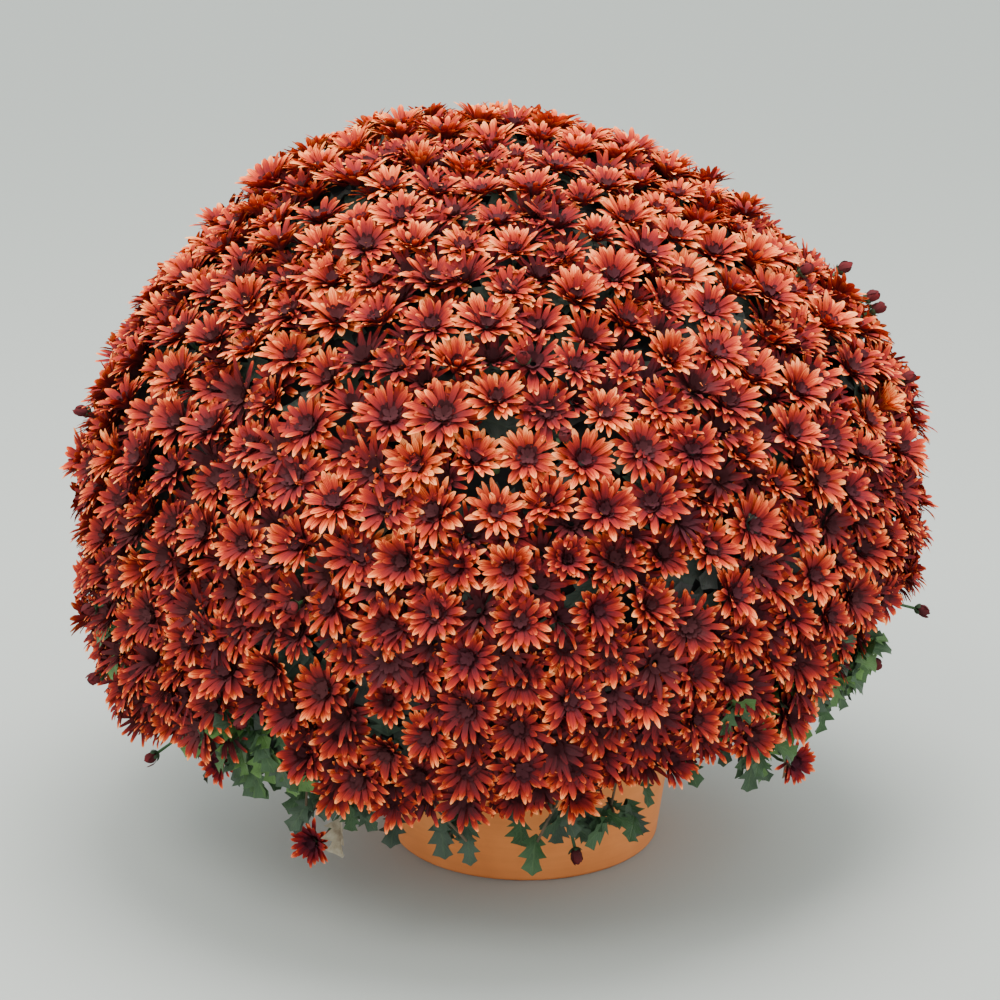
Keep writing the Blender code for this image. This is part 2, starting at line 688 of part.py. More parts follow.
def turned(name, outline, sides, finish):
    """A solid of revolution about Z, whose outline starts and ends on the axis."""
    points, faces, rows = [], [], []
    for radius, height in outline:
        on_axis = radius == 0.0
        rows.append([len(points) + k for k in range(1 if on_axis else sides)])
        turns = [2 * math.pi * k / sides for k in range(len(rows[-1]))]
        points += [(radius * math.cos(turn), radius * math.sin(turn), height) for turn in turns]
    for first, second in zip(rows, rows[1:]):
        for k in range(sides):
            n = (k + 1) % sides
            if len(first) == 1:
                faces.append((first[0], second[k], second[n]))
            elif len(second) == 1:
                faces.append((first[k], first[n], second[0]))
            else:
                faces.append((first[k], first[n], second[n], second[k]))
    return object_from(name, points, faces, finish)


def pot_radius(height):
    return POT_BASE_R + (POT_TOP_R - POT_BASE_R) * height / POT_HEIGHT


def post(radius, turn, size, low, high, sides):
    """An upright prism on a circle about the axis."""
    place = (radius * math.cos(turn), radius * math.sin(turn))
    return tube([(*place, low), (*place, high)], [size, size], sides)


def make_pot(finish):
    lip = POT_HEIGHT - LIP_HEIGHT
    outline = [
        (0.0, 0.0),
        (POT_BASE_R - POT_FOOT_BEVEL, 0.0),
        (pot_radius(POT_FOOT_BEVEL), POT_FOOT_BEVEL),
        (pot_radius(lip), lip),
        (pot_radius(lip) + LIP_PROUD, lip + LIP_SLOPE),
        (POT_TOP_R + LIP_PROUD, POT_HEIGHT),
        (POT_TOP_R - POT_WALL, POT_HEIGHT),
        (pot_radius(POT_FLOOR) - POT_WALL, POT_FLOOR),
        (0.0, POT_FLOOR),
    ]
    pot = turned("pot", outline, POT_SIDES, finish)
    turns = [2 * math.pi * (k + 0.5) / DRAIN_HOLES for k in range(DRAIN_HOLES)]
    cut = [post(DRAIN_CIRCLE_R, turn, DRAIN_HOLE_R, -POT_FLOOR, 2 * POT_FLOOR, 6) for turn in turns]
    return combine(pot, cut, "DIFFERENCE")


def make_soil(finish):
    def wall(height):
        return pot_radius(height) - POT_WALL - SEAT_GAP

    low = POT_FLOOR + SEAT_GAP
    shoulder = SOIL_TOP - SOIL_CROWN
    outline = [
        (0.0, low),
        (wall(low), low),
        (wall(shoulder), shoulder),
        (wall(SOIL_TOP) * CROWN_SHARE, SOIL_TOP),
        (0.0, SOIL_TOP),
    ]
    soil = turned("soil", outline, POT_SIDES, finish)
    bottom = SOIL_TOP - SHOOT_DEPTH - SEAT_GAP
    turns = [shoot_azimuth(number) for number in range(SHOOTS)]
    cut = [post(SHOOT_CIRCLE_R, turn, SHOOT_HOLE_R, bottom, SOIL_TOP + COLLAR, 6) for turn in turns]
    return combine(soil, cut, "DIFFERENCE")


def main():
    clear_scene()
    clay = material("terracotta", (0.52, 0.20, 0.075), 0.75)
    earth = material("soil", (0.05, 0.032, 0.022), 0.95)
    green = material("foliage", (0.055, 0.16, 0.045), 0.6)
    bronze = material("petals", (0.62, 0.10, 0.045), 0.6)
    make_pot(clay)
    make_soil(earth)
    sprays = make_sprays(bronze)
    for number in range(SHOOTS):
        make_shoot(number, sprays, green)
    for number, bloom in enumerate(SIDE_BLOOMS, 1):
        make_side_bloom(number, bloom, bronze)


main()
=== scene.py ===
"""Looks of the pot chrysanthemum: petals, leaves, buds, stems, clay and soil over the fixed solids.

Every bloom stands where the solids' bloom does, because the functions that lay the blooms do the same as
those in the part's source, with the same values and the same seed. Lengths are in metres. Angles are in
degrees in the values below, where no comment says radians, and in radians in the functions.
"""

import math

import bmesh
import bpy
import numpy as np
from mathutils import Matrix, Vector, noise


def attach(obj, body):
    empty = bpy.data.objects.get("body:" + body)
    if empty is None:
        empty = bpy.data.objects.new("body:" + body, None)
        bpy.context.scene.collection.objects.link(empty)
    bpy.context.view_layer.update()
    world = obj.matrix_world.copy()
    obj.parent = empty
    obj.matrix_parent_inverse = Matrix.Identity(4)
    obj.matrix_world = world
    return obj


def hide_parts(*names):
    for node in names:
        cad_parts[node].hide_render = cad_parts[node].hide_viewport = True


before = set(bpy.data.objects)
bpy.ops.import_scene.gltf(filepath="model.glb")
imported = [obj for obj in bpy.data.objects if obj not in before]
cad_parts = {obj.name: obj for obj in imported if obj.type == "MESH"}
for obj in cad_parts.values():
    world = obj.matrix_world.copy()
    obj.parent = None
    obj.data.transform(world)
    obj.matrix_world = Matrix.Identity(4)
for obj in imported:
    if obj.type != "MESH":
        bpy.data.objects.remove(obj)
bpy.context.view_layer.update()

SEED = 914
GOLDEN_ANGLE = math.pi * (3.0 - math.sqrt(5.0))

# Pot and soil, as in the part's source
POT_BASE_R = 0.095
POT_TOP_R = 0.123
POT_HEIGHT = 0.200
POT_WALL = 0.006
POT_FLOOR = 0.009
POT_FOOT_BEVEL = 0.0025
LIP_HEIGHT = 0.012
LIP_PROUD = 0.003
LIP_SLOPE = 0.002
DRAIN_HOLES = 4
DRAIN_HOLE_R = 0.007
DRAIN_CIRCLE_R = 0.056
SOIL_TOP = 0.178
SOIL_CROWN = 0.006

# Pot and soil, finer than the solids. Bumps are pairs of a scale and a height
POT_SIDES = 128
CORNER_R = 0.0018
CORNER_STEPS = 4
CORNER_SHARE = 0.45
HOLE_SIDES = 24
HOLE_LOW, HOLE_HIGH = -0.01, 0.02
SOIL_GAP = 0.0005
SOIL_RINGS = 26
SOIL_SIDES = 96
SOIL_EDGE = 0.001
SOIL_BUMPS = ((60.0, 0.0040), (190.0, 0.0025))
MERGE_DISTANCE = 1e-6

# Dome of blooms, as in the part's source. The jitter of the spiral is in radians
DOME_CENTRE = (-0.020, 0.0, 0.2425)
CENTRE = np.array(DOME_CENTRE)
MEAN_R = 0.285
PROFILE_STEP = 18.0
PROFILE_RADII = (0.273, 0.2755, 0.277, 0.282, 0.291, 0.2915, 0.288, 0.271, 0.248)
SWELLS = ((111, 198, 0.012, 13), (72, 6, 0.010, 14), (96, 350, 0.007, 12), (47, 170, -0.002, 18),
          (47, 12, -0.006, 14), (88, 182, -0.006, 14), (24, 34, -0.005, 16), (30, 148, 0.007, 18),
          (62, 300, 0.004, 18), (72, 238, -0.004, 18), (44, 262, 0.003, 16), (92, 262, 0.003, 16),
          (88, 92, 0.007, 20), (60, 60, -0.004, 18), (104, 138, 0.006, 14), (66, 120, 0.004, 16))
SKIRT_STEP = 15.0
SKIRT_ANGLES = (106, 113, 119, 122, 120, 123, 121, 118, 121, 124, 121, 118,
                117, 119, 119, 112, 119, 121, 118, 119, 112, 111, 98, 98)
BARE_SPOTS = ((110.0, 236.0, 0.037), (100.0, 209.0, 0.021))
BLOOM_COUNT = 736
BLOOM_SPACING = 0.0326
BLOOM_CROWDING = 0.020
CLOSEST = 1e-6
SPIRAL_JITTER = 0.030
RELIEF = 0.015
HEIGHT_JITTER = 0.0025
UP_TURN = 0.20
TILT_JITTER = 0.05
RELAX_STEPS = 60
RELAX_SHARE = 0.30
PETAL_REACH = 0.0185
REACH_SHARE = 0.460
BUD_COUNT = 16
BUD_COSINES = (-0.45, 0.80)
BUD_CLEARANCE = 0.0180
BUD_MARGIN = 0.0065
BUD_SPACING = 0.05
CELL_RINGS = (24.0, 54.0, 84.0)
CELL_COUNTS = (5, 6, 6)
CELL_STARTS = (0.0, 0.0, 30.0)
CELL_MARGIN = 0.0140
SPRAY_THICKNESS = 0.007

# Shoots and side blooms, as in the part's source
SHOOTS = 6
CAP_SHOOT = 4
SHOOT_CIRCLE_R = 0.044
TRUNK_R = 0.0062
BRANCH_R = 0.0040
TWIG_R = 0.0022
COLLAR = 0.018
FORK_R = 0.076
FORK_HEIGHT = 0.245
FORK_LEAN = 0.6
LEAVES_A_SHOOT = 4
LEAF_ROWS = (2.5, 10.0)
LEAF_SECTOR = 56.0
LEAF_SPAN = 7.0
SIDE_ROOM = 12.0
LEAF_LENGTH = 0.046
LEAF_BASE_R = 0.236
SIDE_BLOOMS = ((143.0, 219.0, 0.261, 245.0), (130.9, 351.7, 0.2735, 305.0),
               (128.7, 202.0, 0.2563, 230.0))
SIDE_FACING = 84.0
SIDE_STALK_DIP = 0.050

# Petal outline: share of the length at the edges and at the middle, and share of the half width
PETAL_EDGE = (0.00, 0.26, 0.54, 0.80, 0.955)
PETAL_MIDDLE = (0.00, 0.28, 0.58, 0.86, 1.00)
PETAL_WIDTHS = (0.30, 0.60, 0.92, 0.98, 0.46)
PETAL_COLUMNS = (-1.0, 0.0, 1.0)
PETAL_GROOVE = 0.30

# How petals of one layer differ: place round the bloom, as a share of their spacing, width, slopes, sideways
# bend and length
PLACE_JITTER = 0.22
WIDTH_JITTER = 0.12
WIDTH_LIMITS = (0.70, 1.25)
LIFT_JITTER = 5.0
FALL_JITTER = 10.0
FALL_SHIFT = 1.0
SWAY_JITTER = 0.07
LENGTH_JITTER = 0.08
LENGTH_LIMITS = (0.80, 1.15)
SHORT_PETAL_SHARE = 0.10
SHORT_PETAL = 0.72

# Layers of a bloom, from the outermost: petals, start radius, rise, length, width, slope where the petal
# starts, slope at its tip, and its shade from 0, the dark heart, to 1, the pale tip, at both ends
BLOOM_LAYERS = (
    (18, 0.0022, 0.0026, 0.0194, 0.0040, 40.0, 10.0, 0.30, 1.00),
    (14, 0.0020, 0.0036, 0.0170, 0.0038, 50.0, 26.0, 0.27, 0.93),
)
HEART_LAYERS = (
    (9, 0.0044, 0.0040, 0.0104, 0.0034, 50.0, 38.0, 0.26, 0.74),
    (12, 0.0034, 0.0044, 0.0068, 0.0042, 44.0, 80.0, 0.02, 0.12),
    (8, 0.0004, 0.0058, 0.0056, 0.0040, 26.0, 60.0, 0.00, 0.08),
)
UNDER_LAYERS = (
    (15, 0.0022, 0.0026, 0.0194, 0.0042, 36.0, 6.0, 0.30, 0.98),
    (11, 0.0020, 0.0036, 0.0158, 0.0039, 48.0, 26.0, 0.27, 0.80),
    (10, 0.0020, 0.0048, 0.0070, 0.0046, 34.0, 74.0, 0.02, 0.12),
)
BUD_LAYERS = (
    (9, 0.0022, 0.0030, 0.0100, 0.0048, 42.0, 154.0, 0.20, 0.44),
    (7, 0.0016, 0.0030, 0.0095, 0.0040, 58.0, 140.0, 0.16, 0.34),
)
SEPAL_LAYERS = ((8, 0.0012, 0.0010, 0.0050, 0.0032, 12.0, 84.0, 0.2, 0.9),)

# Blooms that stand where the solids' blooms do: size, opening of the petals, and height over the spray
BLOOM_SIZES = (0.86, 1.10)
SIZE_JITTER = 0.08
OPENING_JITTER = 7.0
OPENING_LIMITS = (-12.0, 16.0)
HALF_OPEN_SHARE = 0.06
HALF_OPENINGS = (8.0, 20.0)
BLOOM_LIFT = 0.0010
LIFT_LIMITS = (-0.005, 0.001)

# Facing of the blooms, and how much steeper their petals stand, by polar angle
CUP_ANGLES = (45.0, 85.0)
CUP_SLOPES = (3.0, 0.0)
FACING_ANGLES = (20.0, 45.0, 70.0, 95.0, 118.0)
FACING_TURNS = (0.60, 0.42, 0.18, 0.20, 0.45)
FACING_JITTER = 0.18

# Lightness and pinkness of the blooms. The sun's angle and the pink side's angle are in radians
TONE_LEVEL = 0.18
# A bloom's lightness is painted light: paler towards the sun above and to the right, darker away from them
SUN_PAINTED_LIGHT = 0.62
SUN_ANGLE = 0.35
SIDE_PAINTED_LIGHT = 0.06
TONE_JITTER = 0.15
TONE_DRIFT = 0.22
TONE_SCALE = 4.5
BLUSH_LEVEL = 0.26
BLUSH_ANGLE = 0.9
BLUSH_JITTER = 0.10
BLUSH_LIMIT = 0.8

# Blooms that show in the gaps from below. The jitters and the edge are in radians
UNDER_BLOOMS = 880
PLACES_A_BLOOM = 12
UNDER_SPACING = 0.0175
UNDER_EDGE = 0.03
UNDER_THETA_JITTER = 0.03
UNDER_AZIMUTH_JITTER = 0.04
UNDER_DEPTHS = (0.003, 0.009)
UNDER_TILT = 0.20
UNDER_SIZES = (0.78, 0.98)
UNDER_OPENINGS = (-4.0, 14.0)
# Painted shade that darkens the tone of the blooms in the gaps, least at the top of the dome
UNDER_PAINTED_SHADES = (0.25, 1.1)
TOP_LIGHT = 0.7

# Room of a narrow and of a wide gap, and how much higher and larger a bloom is in a wide one
GAP_ROOMS = (0.0155, 0.0215)
WIDE_RISE = 0.004
WIDE_GROWTH = 0.20

# Hollows without blooms below, and the leaves in them. Every fourth of these leaves may stand anywhere
HOLLOW_SCALE = 21.0
HOLLOW_LEVEL = -0.18
UNDER_LEAVES = 1250
LEAFY_LEVELS = (1.0, -0.05, -0.05, -0.05)
UNDER_LEAF_LENGTHS = (0.026, 0.040)
# Tones of the leaves below the blooms, grey and dark: painted shade deep in the dome
UNDER_LEAF_SHADED_TONES = (0.05, 0.28)
UNDER_LEAF_RISE = 0.25
UNDER_LEAF_TILT = 0.2

# Near-black sheet behind a spray, painted shade that closes the view into the dome
SHADE_SHEET_DEPTH = 0.026
SHADE_SHEET_ROWS = 22
SHADE_SHEET_COLUMNS = 34
CAP_COLUMNS = 64
SHADE_SHEET_BUMPS = ((60.0, 0.0045), (170.0, 0.0030))

# Shade and place across of the painted-shade sheets and of stems, clear of a leaf's rib and veins, and sides
# of thin stalks
SHADE_SHEET_VALUES = (0.3, 0.6)
STEM_VALUES = (0.5, 0.6)
THIN_SIDES = 5

# Flower stalks: tone from the end in the dark heart, over the closed end and four rings, to the foot
# The near-black end and cup are painted shade in the middle of the bloom
STALK_TONES = np.array((0.0, 0.1, 0.6, 0.6, 0.6, 0.6))
STALK_RADII = (0.0026, 0.0012, 0.0012, 0.0014)
STALK_SIDES = 3
STALK_START = 0.0020
STALK_BEND = 0.4
STALK_LENGTH = 0.022
UNDER_STALK_LENGTH = 0.016

# Buds: size, tones and stalks, and the long-stalked ones by polar angle, azimuth and distance from the
# dome's centre
BUD_SIZE = 1.05
BUD_TONE = 0.6
BUD_BLUSH = 0.1
SEPAL_TONE = 0.45
BUD_SINK = 0.002
BUD_ROOT = 0.012
BUD_TOP = 0.003
BUD_STALK_RADII = (0.0011, 0.0010, 0.0012)
BUD_STALK_TONE = 0.6
SHORT_STALK = 0.012
LONG_STALK = 0.030
STALKED_BUDS = ((104.5, 0.0, 0.305), (111.8, 353.0, 0.280), (110.6, 353.0, 0.264), (125.8, 187.2, 0.297),
                (135.8, 286.7, 0.255), (59.9, 0.0, 0.289), (61.7, 0.0, 0.289), (54.6, 0.0, 0.2835))

# Leaf outline: share of the length, and share of the half width, which swings in and out for the lobes
LEAF_OUTLINE = ((0.00, 0.05), (0.07, 0.34), (0.18, 0.84), (0.26, 0.40), (0.36, 0.60), (0.48, 1.00),
                (0.57, 0.42), (0.67, 0.50), (0.79, 0.70), (0.89, 0.32), (1.00, 0.03))
LEAF_COLUMNS = (-1.0, -0.5, 0.0, 0.5, 1.0)
LEAF_ASPECT = 0.37
LEAF_SWEEP = 0.13

# Leaf relief: ripples, fold along the rib and droop to the tip
LEAF_RIPPLE = 0.16
RIPPLES_ALONG = 13.0
RIPPLES_ACROSS = 2.0
LEAF_FOLD = 0.32
FOLD_JITTER = 0.10
LEAF_DROOP = 0.16
DROOP_JITTER = 0.07

# Stems of a shoot: rows and sides of each kind, and their radii, tapers and bends. The cap's middle is in
# radians
TRUNK_GRID = (8, 9)
BRANCH_GRID = (9, 8)
TWIG_GRID = (6, 6)
LEAF_STALK_GRID = (6, 5)
TRUNK_TAPER = 0.85
TRUNK_SUNK = 0.02
BRANCH_BOW = 0.02
CAP_MIDDLE = 0.15
TWIGS = 9
TWIG_SPAN = (0.1, 0.9)
TWIG_STARTS = (0.2, 0.7)
TWIG_TAPER = 0.8
TWIG_END_R = 0.0013
TWIG_JITTER = 0.004
TWIG_GAP = 0.004
WOOD_TONE = 0.5
LEAF_STALK_TONE = 0.7
LEAF_STALK_RADII = (0.0016, 0.0009)
LEAF_STALK_BEND = 0.006
LEAF_STALK_STARTS = (0.1, 0.9)
TIP_STALK_RADII = (0.0012, 0.0008)
TIP_STALK_SHARE = 0.5

# Leafy tips: where each leaf starts along the tip, how far it turns aside, and its share of the length.
# Tips that face the front are shorter
TIP_LEAVES = ((0.38, 0.0, 0.42), (0.10, 0.9, 0.40), (0.14, -0.9, 0.38), (0.26, 0.6, 0.34), (0.0, -0.4, 0.34))
# Darker tones of the tips' leaves: painted shade under the dome's edge
TIP_SHADED_TONES = (0.20, 0.60)
TIP_LENGTHS = (0.90, 1.15)
TIP_RISE = 1.6
TIP_DROOP = 0.10
TIP_JITTER = 0.14
TIP_TILT = 0.2
FRONT = -0.70
FRONT_SIZE = 0.62

# Single leaves at the dome's foot: degrees below the skirt, distance from the dome's centre, and the parts
# down of their direction and up of their upper side
SKIRT_LEAVES = 11
SKIRT_BELOW = (1.0, 9.0)
SKIRT_REACH = (0.235, 0.262)
LOW_LEAVES = 9
LOW_BELOW = (6.0, 24.0)
LOW_REACH = (0.15, 0.215)
# Tones of the leaves at the dome's foot and of the low patches, darker as painted shade under the dome
LOW_SHADED_TONES = (0.25, 0.60)
SKIRT_DROOP = 0.4
SKIRT_JITTER = 0.25
SKIRT_RISE = 1.2
SKIRT_TILT = 0.3

# Patches of leaves between the blooms: polar angle, azimuth, radius and number of leaves
LEAF_PATCHES = ((106.0, 326.0, 0.028, 38), (104.0, 331.0, 0.021, 24), (102.0, 319.0, 0.022, 18),
                (105.0, 311.5, 0.012, 8), (115.0, 314.0, 0.030, 18), (103.0, 302.0, 0.014, 7),
                (110.0, 234.0, 0.036, 46), (116.0, 225.0, 0.024, 14), (101.0, 209.0, 0.020, 10),
                (125.0, 243.0, 0.016, 5), (126.0, 265.0, 0.012, 5), (128.0, 283.0, 0.013, 6),
                (132.0, 275.0, 0.004, 1), (131.0, 298.0, 0.009, 4), (127.0, 290.0, 0.009, 3))

# Leaves of the patches, which are darker below a polar angle: their depth, length and tone, the parts
# aside, outward and down of their direction, the upward part of their upper side, and their shift back
PATCH_DEPTHS = (0.008, 0.024)
PATCH_LENGTHS = (0.017, 0.028)
# Below this polar angle patch leaves take the darker tones, painted shade under the dome
LOW_PATCH = 120.0
PATCH_TONES = (0.30, 1.0)
PATCH_SPREAD = 0.8
PATCH_RISE = 0.4
PATCH_DROOP = 0.5
PATCH_UP = 0.5
PATCH_TILT = 0.25
PATCH_SHIFT = 0.4

# Dead leaves at the dome's foot: polar angle, azimuth, distance from the dome's centre and length. They hang
# down, folded, on a stalk
DRY_LEAVES = ((134.5, 234.5, 0.246, 0.028), (129.5, 350.5, 0.262, 0.024))
DRY_HANG = 1.4
DRY_FOLD = 0.7
DRY_DROOP = 0.3
DRY_STALK = 0.02
DRY_STALK_RADII = (0.0008, 0.0006)

# Side blooms: size, opening, tone and blush, and the stalk behind the bloom, which starts some degrees
# above it and at a distance from the dome's centre
# The side blooms' low tone is painted shade, as for the dome's lower blooms
SIDE_VALUES = (0.90, 4.0, 0.15, 0.75)
SIDE_STALK_ABOVE = 16.0
SIDE_STALK_REACH = 0.235
SIDE_STALK_BACK = 0.014
SIDE_STALK_TOP = 0.003
SIDE_STALK_ROWS = 12
SIDE_STALK_SIDES = 7
SIDE_STALK_R = 0.0012
SIDE_STALK_TOP_R = 0.0034
SIDE_STALK_TONE = 0.6

# Colours of the petals from the heart to the tip, and of the leaves from the dark to the light ones
PETAL_COLOURS = (
    (0.00, (0.060, 0.018, 0.020)),
    (0.20, (0.098, 0.016, 0.018)),
    (0.34, (0.150, 0.014, 0.016)),
    (0.50, (0.220, 0.015, 0.013)),
    (0.66, (0.350, 0.025, 0.010)),
    (0.79, (0.570, 0.066, 0.013)),
    (0.89, (0.850, 0.165, 0.030)),
    (1.00, (1.000, 0.400, 0.125)),
)
BLUSH_COLOUR = (1.0, 0.70, 1.18, 1.0)
LEAF_COLOURS = (
    # The near-black and grey colours at the dark end are painted shade, for the sheets and leaves deep in the
    # dome and the stalks' ends
    (0.00, (0.020, 0.019, 0.021)),
    (0.05, (0.050, 0.046, 0.050)),
    (0.25, (0.034, 0.050, 0.038)),
    (0.60, (0.025, 0.066, 0.020)),
    (1.00, (0.095, 0.195, 0.038)),
)
DULL_LEAF = (0.018, 0.052, 0.024, 1.0)
VEIN_COLOUR = (0.10, 0.16, 0.06, 1.0)
LEAF_MOTTLE = ((0.3, (0.55, 0.6, 0.5)), (0.7, (1.2, 1.2, 1.1)))

# Other colours, each with its place in a pattern
DRY_COLOURS = ((0.30, (0.14, 0.09, 0.055)), (0.50, (0.29, 0.24, 0.17)), (0.72, (0.39, 0.35, 0.28)))
DRY_RIB = (0.55, 0.45, 0.35, 1.0)
CLAY_COLOURS = ((0.28, (0.58, 0.170, 0.036)), (0.55, (0.68, 0.210, 0.048)), (0.78, (0.74, 0.255, 0.070)))
CLAY_LINES = ((0.3, (0.86, 0.84, 0.82)), (0.7, (1.1, 1.1, 1.1)))
CLAY_CHALK = (0.60, 0.38, 0.25, 1.0)
CLAY_FOOT_DARKENING = (0.60, 0.52, 0.46, 1.0)
SOIL_COLOURS = ((0.0, (0.008, 0.005, 0.003)), (0.7, (0.022, 0.014, 0.009)), (1.0, (0.075, 0.044, 0.024)))
SOIL_GRAINS = ((0.3, (0.4, 0.4, 0.4)), (0.7, (1.3, 1.3, 1.3)))
STEM_GREENS = ((0.3, (0.030, 0.056, 0.015)), (0.7, (0.075, 0.12, 0.035)))
STEM_BARKS = ((0.3, (0.038, 0.024, 0.013)), (0.7, (0.11, 0.070, 0.038)))

# Studio. A lamp has a name, place, size, power and colour
FLOOR_HALF = 30.0
FLOOR_COLOUR = (0.35, 0.365, 0.35, 1.0)
FLOOR_ROUGHNESS = 0.9
SKY_COLOUR = (0.90, 0.95, 0.92, 1.0)
SKY_STRENGTH = 2.3
LAMPS = (("key", (-0.8, -1.7, 2.5), 1.1, 38.0, (1.0, 0.96, 0.90)),
         ("top", (0.1, -0.3, 2.6), 1.4, 86.0, (1.0, 0.98, 0.95)))
LAMP_AIM = (0.0, 0.0, 0.25)
CAMERA_AIM = (-0.01769, 0.0, 0.24575)
CAMERA_FAR = 1.7
CAMERA_ELEVATION = 16.5
CAMERA_LENS = 88.0
CAMERA_SENSOR = 36.0

# Patterns of the petals and of the leaves. The powers bend a petal's shade by the tone of its bloom, which
# carries painted light and shade
STREAKS_ACROSS = 3.4
STREAKS_APART = 37.0
STREAK_DEPTH = 1.05
PETAL_DEPTH = 0.22
SHADE_POWER = 3.3
TONE_POWER = -2.5
RIB_EDGE = (0.03, 0.14)
VEINS = 6.0
VEIN_SLANT = -0.28
VEIN_EDGE = (0.02, 0.12)
VEIN_SHARE = 0.55
VEIN_RELIEF = -0.7

# How upright a direction may be before another one helps to cross it, and what keeps lengths from zero
UPRIGHT = 0.9
TINY = 1e-12

# The values that each point of a piece carries, for its finish
VALUE_NAMES = ("shade", "across", "chance", "tone", "blush")


# The dome's outline and the places of its blooms, as in the part's source

def profile(theta):
    """The dome's radius at a polar angle, on a smooth curve through the profile's own points."""
    radii = np.array((PROFILE_RADII[1], *PROFILE_RADII, 2 * PROFILE_RADII[-1] - PROFILE_RADII[-2]))
    last = len(PROFILE_RADII) - 1
    place = np.clip(theta / math.radians(PROFILE_STEP), 0.0, last)
    at = np.minimum(place.astype(int), last - 1)
    return smooth(radii[at], radii[at + 1], radii[at + 2], radii[at + 3], place - at)


def smooth(a, b, c, d, t):
    """The smooth curve from b to c that comes from a and goes on to d, at a share t of its way."""
    return b + 0.5 * t * (c - a + t * (2 * a - 5 * b + 4 * c - d + t * (3 * (b - c) + d - a)))


def lumps(theta, azimuth):
    """How far the swells of the crowded sprays stand out, or in, from the profile."""
    here, total = direction(theta, azimuth), 0.0
    for swell_theta, swell_azimuth, height, spread_angle in SWELLS:
        away = np.arccos(np.clip(here @ toward(swell_theta, swell_azimuth), -1.0, 1.0))
        away = away / math.radians(spread_angle)
        total = total + height * np.exp(-away * away)
    return total


def skirt(azimuth):
    """The polar angle where the blooms end, which is higher where leaves show."""
    knots = np.arange(len(SKIRT_ANGLES)) * SKIRT_STEP
    return np.radians(np.interp(np.degrees(azimuth), knots, SKIRT_ANGLES, period=360.0))


def direction(theta, azimuth):
    theta, azimuth = np.broadcast_arrays(theta, azimuth)
    return np.stack([np.sin(theta) * np.cos(azimuth), np.sin(theta) * np.sin(azimuth), np.cos(theta)], -1)


def toward(theta, azimuth):
    """The direction at a polar angle and an azimuth in degrees."""
    return direction(math.radians(theta), math.radians(azimuth))


def angles_of(vectors):
    unit_vectors = vectors / np.linalg.norm(vectors, axis=-1, keepdims=True)
    turn = np.arctan2(unit_vectors[..., 1], unit_vectors[..., 0]) % (2 * math.pi)
    return np.arccos(np.clip(unit_vectors[..., 2], -1, 1)), turn


def on_dome(theta, azimuth, below=0.0):
    """A point of the dome's outline, or one that far below it."""
    reach = profile(theta) + lumps(theta, azimuth) - below
    return CENTRE + direction(theta, azimuth) * reach[..., None]


def past_bare_spots(points):
    """How far each point lies outside each bare spot, by spot and point."""
    theta, azimuth, radius = np.array(BARE_SPOTS).T
    spots = on_dome(np.radians(theta), np.radians(azimuth))
    return np.linalg.norm(points - spots[:, None], axis=-1) - radius[:, None]


def cells():
    """(ring, azimuth where it starts, azimuth where it ends) of each spray. The cap is ring 0."""
    found = [(0, 0.0, 2 * math.pi)]
    for ring, (count, first) in enumerate(zip(CELL_COUNTS, CELL_STARTS), 1):
        turns = [math.radians(first + k * 360.0 / count) for k in range(count + 1)]
        found += [(ring, start, end) for start, end in zip(turns, turns[1:])]
    return found


def ring_limits(ring, azimuth):
    """The polar angles where a ring of cells starts and ends at an azimuth."""
    bounds = np.radians((0.0, *CELL_RINGS))
    low = np.full(np.shape(azimuth), bounds[ring])
    high = skirt(azimuth) if ring == len(CELL_RINGS) else np.full(np.shape(azimuth), bounds[ring + 1])
    return low, high


def cell_of(theta, azimuth, every):
    """The index of the cell that each direction falls in."""
    rings = np.searchsorted(np.radians(CELL_RINGS), theta)
    found = np.zeros(len(theta), int)
    for index, (ring, start, end) in enumerate(every):
        if ring:
            inside = ((azimuth - start) % (2 * math.pi)) < end - start
            found[(rings == ring) & inside] = index
    return found


def keep_in_cells(theta, azimuth, home, every, margin):
    """Moves each direction inside its own cell, clear of the cell's edges by the margin."""
    room = margin / (MEAN_R - RELIEF)
    for index, (ring, start, end) in enumerate(every):
        own = home == index
        reach = room / np.sin(np.maximum(theta[own], room))
        limits = [ring_limits(ring, azimuth[own] + turn * reach) for turn in (-1, 0, 1)]
        low = limits[1][0] + (room if ring else 0.0)
        high = np.min([limit[1] for limit in limits], axis=0) - room
        theta[own] = np.clip(theta[own], low, np.maximum(high, low))
        if ring:
            side = room / np.sin(theta[own])
            off = (azimuth[own] - start + math.pi) % (2 * math.pi) - math.pi
            azimuth[own] = start + np.clip(off, side, end - start - side)
    return theta, azimuth % (2 * math.pi)


def spread(theta, azimuth):
    """One step that pushes apart the points nearer than the bloom spacing."""
    points = on_dome(theta, azimuth, RELIEF)
    apart = points[:, None] - points[None]
    far = np.maximum(np.linalg.norm(apart, axis=-1), CLOSEST) + np.eye(len(points))
    push = np.clip(BLOOM_SPACING - far, 0, None) * (1 - np.eye(len(points)))
    moved = points + RELAX_SHARE * (apart / far[..., None] * push[..., None]).sum(1)
    return angles_of(moved - CENTRE)


